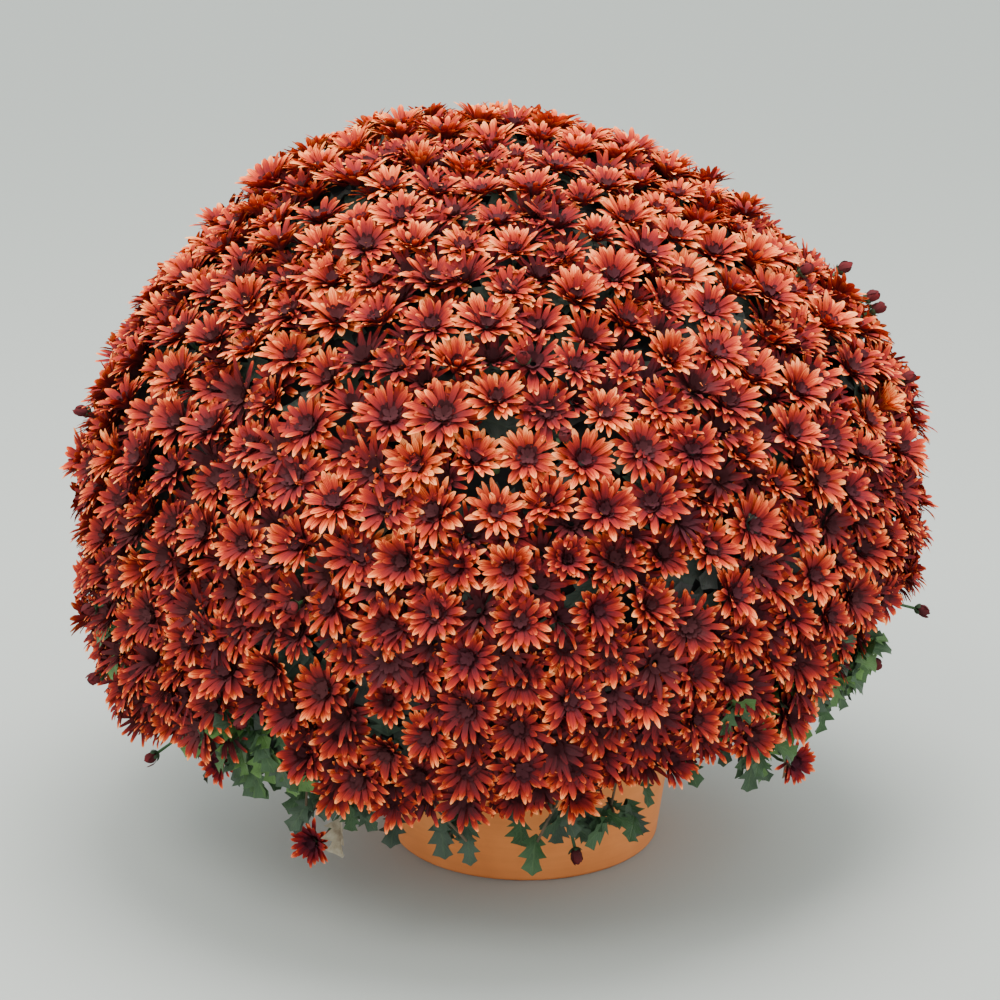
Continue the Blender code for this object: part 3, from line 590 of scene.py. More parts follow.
def lay_blooms():
    """Polar angle, azimuth and cell of each bloom, from a golden-angle spiral, shaken and then relaxed."""
    rng = np.random.default_rng(SEED)
    lowest = math.cos(math.radians(max(SKIRT_ANGLES)))
    index = np.arange(BLOOM_COUNT) + 0.5
    theta = np.arccos(1.0 - index / BLOOM_COUNT * (1.0 - lowest))
    azimuth = index * GOLDEN_ANGLE + rng.normal(0, SPIRAL_JITTER, BLOOM_COUNT) / np.sin(theta)
    theta = np.abs(theta + rng.normal(0, SPIRAL_JITTER, BLOOM_COUNT))
    keep = theta < skirt(azimuth)
    theta, azimuth = theta[keep], azimuth[keep] % (2 * math.pi)
    every = cells()
    home = cell_of(theta, azimuth, every)
    for _ in range(RELAX_STEPS):
        theta, azimuth = keep_in_cells(theta, azimuth, home, every, CELL_MARGIN)
        theta, azimuth = spread(theta, azimuth)
    theta, azimuth = keep_in_cells(theta, azimuth, home, every, CELL_MARGIN)
    points = on_dome(theta, azimuth)
    crowded = np.linalg.norm(points[:, None] - points[None], axis=-1) < BLOOM_CROWDING
    clear = ~np.tril(crowded, -1).any(1) & (past_bare_spots(points) > 0).all(0)
    return theta[clear], azimuth[clear], home[clear]


def bloom_frames(theta, azimuth):
    """For each bloom: foot on the spray's skin, outward direction, facing and reach."""
    rng = np.random.default_rng(SEED + 1)
    count = len(theta)
    foot = on_dome(theta, azimuth, RELIEF + rng.uniform(-HEIGHT_JITTER, HEIGHT_JITTER, count))
    out = direction(theta, azimuth)
    facing = unit(out + (0, 0, UP_TURN) + rng.normal(0, TILT_JITTER, (count, 3)))
    far = np.linalg.norm(foot[:, None] - foot[None], axis=-1) + np.eye(count)
    return foot, out, facing, np.minimum(PETAL_REACH, REACH_SHARE * far.min(1))


def lay_buds(foot):
    """(foot, outward direction, cell) of each bud, in gaps between the blooms."""
    rng = np.random.default_rng(SEED + 2)
    every = cells()
    kept = []
    while len(kept) < BUD_COUNT:
        theta = np.arccos(rng.uniform(*BUD_COSINES, 1))
        azimuth = rng.uniform(0, 2 * math.pi, 1)
        if theta[0] > skirt(azimuth)[0]:
            continue
        home = cell_of(theta, azimuth, every)
        theta, azimuth = keep_in_cells(theta, azimuth, home, every, BUD_MARGIN)
        point = on_dome(theta, azimuth, RELIEF)[0]
        near = np.linalg.norm(foot - point, axis=1).min()
        apart = min((np.linalg.norm(point - other) for other, _out, _home in kept), default=1.0)
        if near > BUD_CLEARANCE and apart > BUD_SPACING:
            kept.append((point, direction(theta, azimuth)[0], home[0]))
    return kept


# Sheets of points

def unit(vectors):
    return vectors / np.linalg.norm(vectors, axis=-1, keepdims=True)


def square_to(axis):
    """Two directions square to each axis."""
    away = np.where(np.abs(axis[..., 2:]) < UPRIGHT, (0.0, 0.0, 1.0), (0.0, 1.0, 0.0))
    side = unit(np.cross(axis, away))
    return side, np.cross(axis, side)


def around(side, other, turn):
    """The directions at angles in the plane of two that are square to each other."""
    return np.cos(turn) * side + np.sin(turn) * other


def bumps_at(point, bumps):
    """The height of noise bumps, given as pairs of a scale and a height, at a point."""
    return sum(height * noise.noise(Vector(point) * scale) for scale, height in bumps)


def drift(points, scale):
    """A slow random change from place to place, from -1 to 1."""
    return np.array([noise.noise(Vector(point) * scale) for point in points])


def quads(count, rows, columns):
    """The faces of a number of sheets, each with its own rows and columns of points."""
    row, column = np.meshgrid(np.arange(rows - 1), np.arange(columns - 1), indexing="ij")
    first = (row * columns + column).ravel()
    quad = np.stack([first, first + 1, first + columns + 1, first + columns], -1)
    return (np.arange(count)[:, None, None] * rows * columns + quad).reshape(-1, 4)


class Shape:
    """The points, faces and values of a piece that is put together from many small sheets."""

    def __init__(self):
        self.points, self.faces, self.values, self.count = [], [], [], 0

    def add(self, points, values):
        """Adds sheets, given as points by sheet, row and column, with the values of each point."""
        sheets, rows, columns = points.shape[:3]
        self.faces.append(self.count + quads(sheets, rows, columns))
        self.points.append(points.reshape(-1, 3))
        spread_out = [np.broadcast_to(value, points.shape[:3]).ravel() for value in values]
        self.values.append(np.stack(spread_out, -1))
        self.count += sheets * rows * columns

    def piece(self, name, finish, slot, nodes):
        mesh = bpy.data.meshes.new(name)
        points, values = np.concatenate(self.points), np.concatenate(self.values)
        mesh.from_pydata(points.tolist(), [], np.concatenate(self.faces).tolist())
        for column, value_name in enumerate(VALUE_NAMES):
            layer = mesh.attributes.new(value_name, "FLOAT", "POINT")
            layer.data.foreach_set("value", values[:, column].astype(np.float32))
        return dress(name, mesh, finish, nodes)


def placed(name, data):
    """A new object of the scene that shows the data."""
    made = bpy.data.objects.new(name, data)
    bpy.context.scene.collection.objects.link(made)
    return made


def dress(name, mesh, finish, nodes):
    """Puts a mesh in the scene as a smooth piece that stands for the nodes."""
    mesh.polygons.foreach_set("use_smooth", np.ones(len(mesh.polygons), bool))
    mesh.materials.append(finish)
    made = placed(name, mesh)
    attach(made, "root")
    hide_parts(*nodes)
    return made


# Petals, buds and stalks

def petal_sheets(centre, axis, outward, start, rise, length, width, lift, fall, sway, step):
    """Points of petals that leave their bloom's axis, with a slope that goes from lift to fall."""
    share = np.array([PETAL_EDGE, PETAL_MIDDLE, PETAL_EDGE]).T[None, ::step]
    across = np.array(PETAL_COLUMNS)
    half = np.array(PETAL_WIDTHS)[None, ::step, None] * 0.5 * width[:, None, None]
    first, turn = lift[:, None, None], (fall - lift)[:, None, None]
    slope = first + turn * share
    reach = start[:, None, None] + length[:, None, None] * (np.sin(slope) - np.sin(first)) / turn
    height = rise[:, None, None] + length[:, None, None] * (np.cos(first) - np.cos(slope)) / turn
    sideways = across * half + (sway * length)[:, None, None] * share ** 2
    groove = PETAL_GROOVE * np.abs(across) * half
    outward, axis, centre = (vectors[:, None, None] for vectors in (outward, axis, centre))
    tangent = np.cross(axis, outward)
    upper = axis * np.cos(slope)[..., None] - outward * np.sin(slope)[..., None]
    middle = centre + outward * reach[..., None] + axis * height[..., None]
    return middle + tangent * sideways[..., None] + upper * groove[..., None], share


def petal_lengths(count, rng):
    """The share of its full length that each petal has, a few of them short."""
    short = rng.uniform(size=count) < SHORT_PETAL_SHARE
    return rng.normal(1.0, LENGTH_JITTER, count).clip(*LENGTH_LIMITS) * np.where(short, SHORT_PETAL, 1.0)


def add_flowers(shape, layers, centre, facing, size, opening, tone, blush, rng, step=1):
    """Adds the petals of several blooms or buds, layer by layer, with every step-th row of points."""
    side, other = square_to(facing)
    for petals, start, rise, length, width, lift, fall, dark, pale in layers:
        count = len(centre) * petals
        own = np.repeat(np.arange(len(centre)), petals)
        phase = np.repeat(rng.uniform(0, 2 * math.pi, len(centre)), petals)
        place = np.tile(np.arange(petals), len(centre)) + rng.normal(0, PLACE_JITTER, count)
        turn = phase + place * 2 * math.pi / petals
        outward = around(side[own], other[own], turn[:, None])
        scale = size[own]
        points, share = petal_sheets(
            centre[own], facing[own], outward, start * scale, rise * scale,
            length * scale * petal_lengths(count, rng),
            width * scale * rng.normal(1.0, WIDTH_JITTER, count).clip(*WIDTH_LIMITS),
            np.radians(lift + opening[own] + rng.normal(0, LIFT_JITTER, count)),
            np.radians(fall + opening[own] + rng.normal(0, FALL_JITTER, count) - FALL_SHIFT),
            rng.normal(0, SWAY_JITTER, count), step)
        chance = rng.uniform(0, 1, (count, 1, 1))
        shade = dark + (pale - dark) * share
        shape.add(points, (shade, PETAL_COLUMNS, chance, tone[own, None, None], blush[own, None, None]))


def alike(count, *values):
    """Each value repeated for a number of blooms."""
    return [np.full(count, value) for value in values]


def add_tubes(shape, paths, radii, sides, chance, tone):
    """Adds round stems along paths of equal length, given as points by stem and row, with closed ends."""
    paths = np.concatenate([paths[:, :1], paths, paths[:, -1:]], axis=1)
    radii = np.concatenate([[0.0], radii, [0.0]])
    along = unit(np.gradient(paths, axis=1) + TINY)
    side, other = square_to(along)
    turn = np.linspace(0, 2 * math.pi, sides + 1)
    ring = around(side[:, :, None], other[:, :, None], turn[:, None])
    shape.add(paths[:, :, None] + ring * radii[None, :, None, None], (*STEM_VALUES, chance, tone, 0.0))


def curved(points, rows):
    """A smooth path of that many rows through a few points of each stem, by stem and point."""
    points = np.asarray(points)
    before = 2 * points[:, :1] - points[:, 1:2]
    after = 2 * points[:, -1:] - points[:, -2:-1]
    ends = np.concatenate([before, points, after], 1)
    place = np.linspace(0, points.shape[1] - 1, rows)
    at = np.minimum(place.astype(int), points.shape[1] - 2)
    return smooth(ends[:, at], ends[:, at + 1], ends[:, at + 2], ends[:, at + 3], (place - at)[None, :, None])


def add_stems(shape, points, thickness, grid, tone):
    """Adds smooth stems that taper from one thickness to the other, on a grid of rows and sides."""
    rows, sides = grid
    add_tubes(shape, curved(points, rows), np.linspace(*thickness, rows), sides, tone, tone)


# Leaves

def add_leaves(shape, base, along, up, length, rng, tone, fold=LEAF_FOLD, droop=LEAF_DROOP):
    """Adds lobed leaves that are folded a little along the rib and droop to the tip."""
    side = unit(np.cross(along, up))
    up = np.cross(side, along)
    share, half = (column[None, :, None] for column in np.array(LEAF_OUTLINE).T)
    across = np.array(LEAF_COLUMNS)
    length = length[:, None, None]
    half = half * (LEAF_ASPECT * length)
    outer = np.abs(across) * half
    forward = share * length + LEAF_SWEEP * outer / LEAF_ASPECT
    wave = rng.uniform(0, 2 * math.pi, length.shape)
    ripple = LEAF_RIPPLE * outer * np.sin(share * RIPPLES_ALONG + across * RIPPLES_ACROSS + wave)
    bend = rng.normal(droop, DROOP_JITTER, length.shape) * length * share ** 2
    rise = rng.normal(fold, FOLD_JITTER, length.shape) * outer + ripple - bend
    base, along, up, side = (vectors[:, None, None] for vectors in (base, along, up, side))
    place = base + along * forward[..., None] + up * rise[..., None] + side * (across * half)[..., None]
    chance = rng.uniform(0, 1, length.shape)
    shape.add(place, (share, across, chance, tone[:, None, None], 0.0))


# Node materials

def set_inputs(tree, target, inputs):
    """Sets or links inputs of a node, each by its name or number."""
    for key, value in inputs.items():
        if isinstance(value, bpy.types.NodeSocket):
            tree.links.new(value, target.inputs[key])
        else:
            target.inputs[key].default_value = value


def node(tree, kind, inputs=(), **settings):
    """A new node with its settings and inputs."""
    made = tree.nodes.new(kind)
    for key, value in settings.items():
        setattr(made, key, value)
    set_inputs(tree, made, dict(inputs))
    return made


def value_of(tree, name):
    return node(tree, "ShaderNodeAttribute", attribute_name=name).outputs["Fac"]


def maths(tree, operation, *values):
    return node(tree, "ShaderNodeMath", dict(enumerate(values)), operation=operation).outputs[0]


def mixed(tree, kind, share, first, second):
    made = node(tree, "ShaderNodeMix", {0: share, 6: first, 7: second}, data_type="RGBA", blend_type=kind)
    return made.outputs[2]


def noise_of(tree, vector, scale, detail, roughness=0.55):
    inputs = {"Vector": vector, "Scale": scale, "Detail": detail, "Roughness": roughness}
    return node(tree, "ShaderNodeTexNoise", inputs).outputs["Fac"]


def stretched(tree, place, scale):
    return node(tree, "ShaderNodeMapping", {"Vector": place, "Scale": scale}).outputs[0]


def height_of(tree, place):
    return node(tree, "ShaderNodeSeparateXYZ", {0: place}).outputs[2]


def ramp(tree, share, stops):
    """A colour ramp through (place, colour) stops."""
    made = node(tree, "ShaderNodeValToRGB", {0: share})
    elements = made.color_ramp.elements
    for _ in range(len(stops) - 2):
        elements.new(0.5)
    for element, (place, colour) in zip(elements, stops):
        element.position = place
        element.color = (*colour, 1.0)
    return made.outputs["Color"]


def ranged(tree, value, low, high, to_low=0.0, to_high=1.0):
    """A value that goes from to_low to to_high while the given one goes from low to high."""
    inputs = {0: value, 1: low, 2: high, 3: to_low, 4: to_high}
    return node(tree, "ShaderNodeMapRange", inputs, clamp=True).outputs[0]


def bumped(tree, height, strength, distance):
    inputs = {"Height": height, "Strength": strength, "Distance": distance}
    return node(tree, "ShaderNodeBump", inputs).outputs["Normal"]


def new_finish(name):
    made = bpy.data.materials.new(name)
    made.use_nodes = True
    tree = made.node_tree
    shader = tree.nodes["Principled BSDF"]
    place = node(tree, "ShaderNodeTexCoord").outputs["Object"]
    return made, tree, shader, place


def petal_finish():
    """Satin petals, maroon at the heart and peach at the tips, with pale streaks along them, and painted
    light and shade from each bloom's tone.
    """
    made, tree, shader, _place = new_finish("bronze_petals")
    shade, across, chance, tone, blush = (value_of(tree, name) for name in VALUE_NAMES)
    wide = maths(tree, "MULTIPLY", across, STREAKS_ACROSS)
    apart = maths(tree, "MULTIPLY", chance, STREAKS_APART)
    lines = node(tree, "ShaderNodeCombineXYZ", {0: wide, 1: shade, 2: apart}).outputs[0]
    streaks = noise_of(tree, lines, scale=2.6, detail=4.0)
    streak = maths(tree, "MULTIPLY_ADD", streaks, STREAK_DEPTH, -0.5 * STREAK_DEPTH)
    own = maths(tree, "MULTIPLY_ADD", chance, PETAL_DEPTH, -0.5 * PETAL_DEPTH)
    shift = maths(tree, "ADD", streak, own)
    # The bloom's tone holds painted light and shade: it sets how far the pale tip reaches down the petal
    power = maths(tree, "MULTIPLY_ADD", tone, TONE_POWER, SHADE_POWER)
    bent = maths(tree, "POWER", shade, power)
    place = maths(tree, "MULTIPLY_ADD", shift, ranged(tree, shade, 0.05, 0.5), bent)
    ribs = noise_of(tree, lines, scale=4.0, detail=2.0)
    set_inputs(tree, shader, {
        "Base Color": mixed(tree, "MULTIPLY", blush, ramp(tree, place, PETAL_COLOURS), BLUSH_COLOUR),
        "Normal": bumped(tree, ribs, strength=0.35, distance=0.0006),
        "Roughness": 0.70,
        "Specular IOR Level": ranged(tree, place, 0.2, 0.8, 0.03, 0.12),
    })
    return made


def leaf_finish():
    """Soft matte leaves with a paler rib and side veins, darker and lighter from leaf to leaf; the darkest
    are painted shade.
    """
    made, tree, shader, place = new_finish("chrysanthemum_leaf")
    shade, across, chance, tone = (value_of(tree, name) for name in VALUE_NAMES[:4])
    aside = maths(tree, "ABSOLUTE", across)
    rib = ranged(tree, aside, *RIB_EDGE, 1.0, 0.0)
    slanted = maths(tree, "MULTIPLY_ADD", aside, VEIN_SLANT, shade)
    rows = maths(tree, "FRACT", maths(tree, "MULTIPLY", slanted, VEINS))
    from_vein = maths(tree, "ABSOLUTE", maths(tree, "SUBTRACT", rows, 0.5))
    line = maths(tree, "MAXIMUM", rib, ranged(tree, from_vein, *VEIN_EDGE, VEIN_SHARE, 0.0))
    mottle = noise_of(tree, place, scale=160.0, detail=4.0)
    dull = maths(tree, "MULTIPLY", chance, maths(tree, "MULTIPLY", tone, 0.35))
    green = mixed(tree, "MIX", dull, ramp(tree, tone, LEAF_COLOURS), DULL_LEAF)
    green = mixed(tree, "MULTIPLY", 0.6, green, ramp(tree, mottle, LEAF_MOTTLE))
    pale = maths(tree, "MULTIPLY", line, maths(tree, "MULTIPLY", tone, 0.45))
    relief = maths(tree, "MULTIPLY_ADD", line, VEIN_RELIEF, mottle)
    set_inputs(tree, shader, {
        "Base Color": mixed(tree, "MIX", pale, green, VEIN_COLOUR),
        "Normal": bumped(tree, relief, strength=0.5, distance=0.0008),
        "Roughness": 0.58,
        "Specular IOR Level": ranged(tree, tone, 0.0, 0.3, 0.03, 0.35),
    })
    return made


def dry_leaf_finish():
    """Papery dead leaves, pale straw and grey, darker along the rib."""
    made, tree, shader, place = new_finish("dry_leaf")
    rib = ranged(tree, maths(tree, "ABSOLUTE", value_of(tree, "across")), 0.0, 0.2, 0.5, 0.0)
    stain = noise_of(tree, place, scale=120.0, detail=5.0)
    set_inputs(tree, shader, {
        "Base Color": mixed(tree, "MULTIPLY", rib, ramp(tree, stain, DRY_COLOURS), DRY_RIB),
        "Normal": bumped(tree, stain, strength=0.6, distance=0.0010),
        "Roughness": 0.85,
    })
    return made


def clay_finish():
    """Smooth fired clay with faint turning lines, mottling, chalk towards the rim, and darker towards the
    foot.
    """
    made, tree, shader, place = new_finish("fired_clay")
    height = height_of(tree, place)
    lines = noise_of(tree, stretched(tree, place, (5.0, 5.0, 160.0)), scale=1.0, detail=3.0)
    mottle = noise_of(tree, place, scale=22.0, detail=6.0)
    grain = noise_of(tree, place, scale=900.0, detail=2.0)
    colour = mixed(tree, "MULTIPLY", 0.5, ramp(tree, mottle, CLAY_COLOURS), ramp(tree, lines, CLAY_LINES))
    chalky = ranged(tree, mottle, 0.5, 0.75, 0.0, 0.35)
    chalk = maths(tree, "MULTIPLY", ranged(tree, height, 0.12, 0.2), chalky)
    colour = mixed(tree, "MIX", chalk, colour, CLAY_CHALK)
    # Darker towards the foot of the pot
    foot_darkening = ranged(tree, height, 0.0, 0.025, 0.35, 0.0)
    relief = maths(tree, "MULTIPLY_ADD", grain, 0.25, lines)
    set_inputs(tree, shader, {
        "Base Color": mixed(tree, "MULTIPLY", foot_darkening, colour, CLAY_FOOT_DARKENING),
        "Normal": bumped(tree, relief, strength=0.22, distance=0.0007),
        "Roughness": ranged(tree, mottle, 0.3, 0.7, 0.62, 0.80),
    })
    return made


def soil_finish():
    """Dark peat with paler bark crumbs."""
    made, tree, shader, place = new_finish("potting_mix")
    crumbs = node(tree, "ShaderNodeTexVoronoi", {"Vector": place, "Scale": 240.0})
    fine = noise_of(tree, place, scale=420.0, detail=5.0)
    pick = node(tree, "ShaderNodeSeparateColor", {0: crumbs.outputs["Color"]}).outputs[0]
    relief = maths(tree, "MULTIPLY_ADD", crumbs.outputs["Distance"], -1.2, fine)
    grains = ramp(tree, fine, SOIL_GRAINS)
    set_inputs(tree, shader, {
        "Base Color": mixed(tree, "MULTIPLY", 0.7, ramp(tree, pick, SOIL_COLOURS), grains),
        "Normal": bumped(tree, relief, strength=0.9, distance=0.003),
        "Roughness": 0.95,
    })
    return made


def stem_finish():
    """Ridged green stems that turn brown and woody towards the soil."""
    made, tree, shader, place = new_finish("chrysanthemum_stem")
    fibre = noise_of(tree, stretched(tree, place, (260.0, 260.0, 22.0)), scale=1.0, detail=4.0)
    high = ranged(tree, height_of(tree, place), 0.20, 0.30)
    green, bark = ramp(tree, fibre, STEM_GREENS), ramp(tree, fibre, STEM_BARKS)
    set_inputs(tree, shader, {
        "Base Color": mixed(tree, "MIX", high, bark, green),
        "Normal": bumped(tree, fibre, strength=0.6, distance=0.0008),
        "Roughness": 0.72,
    })
    return made


# Sprays

def bloom_tones(theta, azimuth, rng):
    """Lightness and pinkness of each bloom: paler above and to the right as painted light, darker below as
    painted shade, and pinker to the right.
    """
    sun = np.cos(theta - SUN_ANGLE)
    # Painted light: paler towards the sun above and towards +x, with random tone and a slow drift
    tone = TONE_LEVEL + SUN_PAINTED_LIGHT * sun + SIDE_PAINTED_LIGHT * np.cos(azimuth) + rng.normal(0, TONE_JITTER, len(theta))
    tone += TONE_DRIFT * drift(direction(theta, azimuth), TONE_SCALE)
    blush = BLUSH_LEVEL * np.clip(np.cos(azimuth + BLUSH_ANGLE), 0, 1)
    blush = blush + rng.normal(0, BLUSH_JITTER, len(theta))
    return tone.clip(0, 1), blush.clip(0, BLUSH_LIMIT)


def turned_up(theta, facing, rng):
    """Facings that are shaken, and turned up most at the top of the dome and at its lower edge."""
    up = np.interp(np.degrees(theta), FACING_ANGLES, FACING_TURNS)
    return unit(facing + up[:, None] * (0, 0, 1) + rng.normal(0, FACING_JITTER, facing.shape))


def cupping(theta):
    """How much steeper the petals stand on the upper part of the dome, in degrees."""
    return np.interp(np.degrees(theta), CUP_ANGLES, CUP_SLOPES)


def upper_blooms(theta, azimuth, rng):
    """Feet of the blooms that the solids have too, and centre, facing, size, opening, tone and blush."""
    foot, out, facing, reach = bloom_frames(theta, azimuth)
    count = len(theta)
    size = np.clip(reach / reach.mean(), *BLOOM_SIZES) * rng.normal(1.0, SIZE_JITTER, count)
    opening = rng.normal(0, OPENING_JITTER, count).clip(*OPENING_LIMITS)
    opening += np.where(rng.uniform(size=count) < HALF_OPEN_SHARE, rng.uniform(*HALF_OPENINGS, count), 0)
    opening += cupping(theta)
    tone, blush = bloom_tones(theta, azimuth, rng)
    facing = turned_up(theta, facing, rng)
    centre = foot + out * (BLOOM_LIFT + rng.uniform(*LIFT_LIMITS, count))[:, None]
    return foot, (centre, facing, size, opening, tone, blush)


def under_places(count, rng):
    """Places spread evenly over the dome, between and below the blooms."""
    lowest = math.cos(math.radians(max(SKIRT_ANGLES)))
    index = np.arange(count) + 0.5
    theta = np.arccos(1.0 - index / count * (1.0 - lowest)) + rng.normal(0, UNDER_THETA_JITTER, count)
    azimuth = (index * GOLDEN_ANGLE + rng.normal(0, UNDER_AZIMUTH_JITTER, count)) % (2 * math.pi)
    theta = np.abs(theta)
    keep = theta < skirt(azimuth) - UNDER_EDGE
    return theta[keep], azimuth[keep]


def gap_places(foot, rng):
    """The middles of the widest gaps between blooms, outside the hollows and the bare spots."""
    theta, azimuth = under_places(UNDER_BLOOMS * PLACES_A_BLOOM, rng)
    points = on_dome(theta, azimuth, RELIEF)
    room = np.linalg.norm(points[:, None] - foot[None], axis=-1).min(1)
    bloomy = (drift(points, HOLLOW_SCALE) > HOLLOW_LEVEL) & (past_bare_spots(points) > 0).all(0)
    kept = []
    for index in np.argsort(-room):
        apart = np.linalg.norm(points[kept] - points[index], axis=1).min() if kept else 1.0
        if bloomy[index] and apart > UNDER_SPACING:
            kept.append(index)
        if len(kept) == UNDER_BLOOMS:
            break
    return theta[kept], azimuth[kept], room[kept]


def lower_blooms(foot, every, rng):
    """Centre, facing, size, opening, tone with painted shade, and blush of the blooms in the gaps, and their
    cells.
    """
    theta, azimuth, room = gap_places(foot, rng)
    count = len(theta)
    out = direction(theta, azimuth)
    wide = ((room - GAP_ROOMS[0]) / (GAP_ROOMS[1] - GAP_ROOMS[0])).clip(0, 1)
    depth = RELIEF + rng.uniform(*UNDER_DEPTHS, count) - WIDE_RISE * wide
    centre = on_dome(theta, azimuth, depth)
    facing = turned_up(theta, out + (0, 0, UP_TURN) + rng.normal(0, UNDER_TILT, out.shape), rng)
    size = rng.uniform(*UNDER_SIZES, count) + WIDE_GROWTH * wide
    opening = rng.uniform(*UNDER_OPENINGS, count) + cupping(theta)
    tone, blush = bloom_tones(theta, azimuth, rng)
    # Painted shade: darker tones for the blooms in the gaps, least at the top
    tone = tone - rng.uniform(*UNDER_PAINTED_SHADES, count) * (1.0 - TOP_LIGHT * np.cos(theta).clip(0, 1))
    return (centre, facing, size, opening, tone, blush), cell_of(theta, azimuth, every)


def under_leaf_places(rng):
    """Places of the leaves below the blooms, most of them in and round the hollows."""
    theta, azimuth = under_places(UNDER_LEAVES, rng)
    keep = drift(on_dome(theta, azimuth, RELIEF), HOLLOW_SCALE) < np.resize(LEAFY_LEVELS, len(theta))
    return theta[keep], azimuth[keep]


def add_stalks(shape, centre, facing, length, rng):
    """Adds a flower stalk behind each bloom, with a cup at its end in the heart, near-black as painted shade.
    """
    inward = unit(CENTRE - centre)
    middle = centre - facing * STALK_BEND * length
    points = np.stack([centre - facing * STALK_START, middle, centre + inward * length], 1)
    path = curved(points, len(STALK_RADII))
    chance = rng.uniform(0, 1, (len(centre), 1, 1))
    add_tubes(shape, path, STALK_RADII, STALK_SIDES, chance, STALK_TONES[:, None])


def add_buds(flowers, leaves, foot, out, stalk, rng):
    """Adds round buds with their sepals, on stalks that end where a bloom's foot would."""
    tip = foot + out * (stalk - BUD_SINK)
    bud = alike(len(foot), BUD_SIZE, 0.0, BUD_TONE, BUD_BLUSH)
    sepal = alike(len(foot), BUD_SIZE, 0.0, SEPAL_TONE, 0.0)
    add_flowers(flowers, BUD_LAYERS, tip, out, *bud, rng)
    add_flowers(leaves, SEPAL_LAYERS, tip, out, *sepal, rng)
    path = np.stack([foot - out * BUD_ROOT, foot, tip + out * BUD_TOP], 1)
    add_tubes(leaves, path, BUD_STALK_RADII, THIN_SIDES, BUD_STALK_TONE, BUD_STALK_TONE)


def add_short_buds(flowers, leaves, index, buds, rng):
    """Adds the buds of one spray that stand between its blooms."""
    mine = [(foot, out) for foot, out, home in buds if home == index]
    if mine:
        foot, out = (np.array(part) for part in zip(*mine))
        add_buds(flowers, leaves, foot, out, SHORT_STALK, rng)


def add_stalked_buds(flowers, leaves, index, every, rng):
    """Adds the buds of one spray that stand clear of the dome on long stalks."""
    theta, azimuth, reach = np.array(STALKED_BUDS).T
    theta, azimuth = np.radians(theta), np.radians(azimuth)
    own = cell_of(theta, azimuth, every) == index
    if own.any():
        out = direction(theta, azimuth)[own]
        add_buds(flowers, leaves, CENTRE + out * (reach[own, None] - LONG_STALK), out, LONG_STALK, rng)


def add_under_leaves(shape, theta, azimuth, rng):
    """Adds the leaves that fill the gaps below the blooms of one spray."""
    count = len(theta)
    out = direction(theta, azimuth)
    turn = rng.uniform(0, 2 * math.pi, (count, 1))
    along = unit(around(*square_to(out), turn) + UNDER_LEAF_RISE * out)
    length = rng.uniform(*UNDER_LEAF_LENGTHS, count)
    middle = on_dome(theta, azimuth, RELIEF + rng.uniform(*UNDER_DEPTHS, count))
    up = out + rng.normal(0, UNDER_LEAF_TILT, out.shape)
    # Grey, dark tones: painted shade below the blooms
    tone = rng.uniform(*UNDER_LEAF_SHADED_TONES, count)
    add_leaves(shape, middle - along * (0.5 * length)[:, None], along, up, length, rng, tone)


def add_painted_shade_sheet(shape, cell, rng):
    """Adds the near-black bumpy sheet, painted shade, that closes the view into the dome behind one spray."""
    ring, start, end = cell
    columns = SHADE_SHEET_COLUMNS if ring else CAP_COLUMNS
    azimuth = np.tile(np.linspace(start, end, columns), (SHADE_SHEET_ROWS, 1))
    low, high = ring_limits(ring, azimuth)
    theta = low + (high - low) * np.linspace(0.0, 1.0, SHADE_SHEET_ROWS)[:, None]
    outer = on_dome(theta, azimuth, SHADE_SHEET_DEPTH)
    rise = [bumps_at(point, SHADE_SHEET_BUMPS) for point in outer.reshape(-1, 3)]
    outer = outer + direction(theta, azimuth) * np.array(rise).reshape(*theta.shape, 1)
    # Tone 0 makes the sheet near-black: painted shade
    shape.add(outer[None], (*SHADE_SHEET_VALUES, rng.uniform(0, 1, (1, 1, 1)), 0.0, 0.0))


def make_sprays(petals, green):
    """The sprays, each with one piece of petals and one of leaves, buds' sepals and stalks."""
    rng = np.random.default_rng(SEED + 10)
    every = cells()
    theta, azimuth, home = lay_blooms()
    foot, upper = upper_blooms(theta, azimuth, rng)
    lower, low_home = lower_blooms(foot, every, rng)
    buds = lay_buds(foot)
    leaf_theta, leaf_azimuth = under_leaf_places(rng)
    leaf_home = cell_of(leaf_theta, leaf_azimuth, every)
    for index, cell in enumerate(every):
        flowers, leaves = Shape(), Shape()
        own = [values[home == index] for values in upper]
        under = [values[low_home == index] for values in lower]
        add_flowers(flowers, BLOOM_LAYERS, *own, rng)
        add_flowers(flowers, HEART_LAYERS, *own, rng, step=2)
        add_flowers(flowers, UNDER_LAYERS, *under, rng, step=2)
        add_stalks(leaves, *own[:2], STALK_LENGTH, rng)
        add_stalks(leaves, *under[:2], UNDER_STALK_LENGTH, rng)
        add_short_buds(flowers, leaves, index, buds, rng)
        add_stalked_buds(flowers, leaves, index, every, rng)
        add_under_leaves(leaves, leaf_theta[leaf_home == index], leaf_azimuth[leaf_home == index], rng)
        add_painted_shade_sheet(leaves, cell, rng)
        name = f"spray_{index + 1:02d}"
        flowers.piece(name + "_petals", petals, "petals", [name])
        leaves.piece(name + "_leaves", green, "foliage", [name])


# Shoots

def shoot_azimuth(number):
    return (number + 0.5) * 2 * math.pi / SHOOTS


def cells_of_shoot(number):
    """The indexes of the three sprays that a shoot carries, from the highest to the lowest."""
    first = 0 if number == CAP_SHOOT else 1 + number - (number > CAP_SHOOT)
    second = 1 + CELL_COUNTS[0] + number
    return first, second, second + CELL_COUNTS[1]


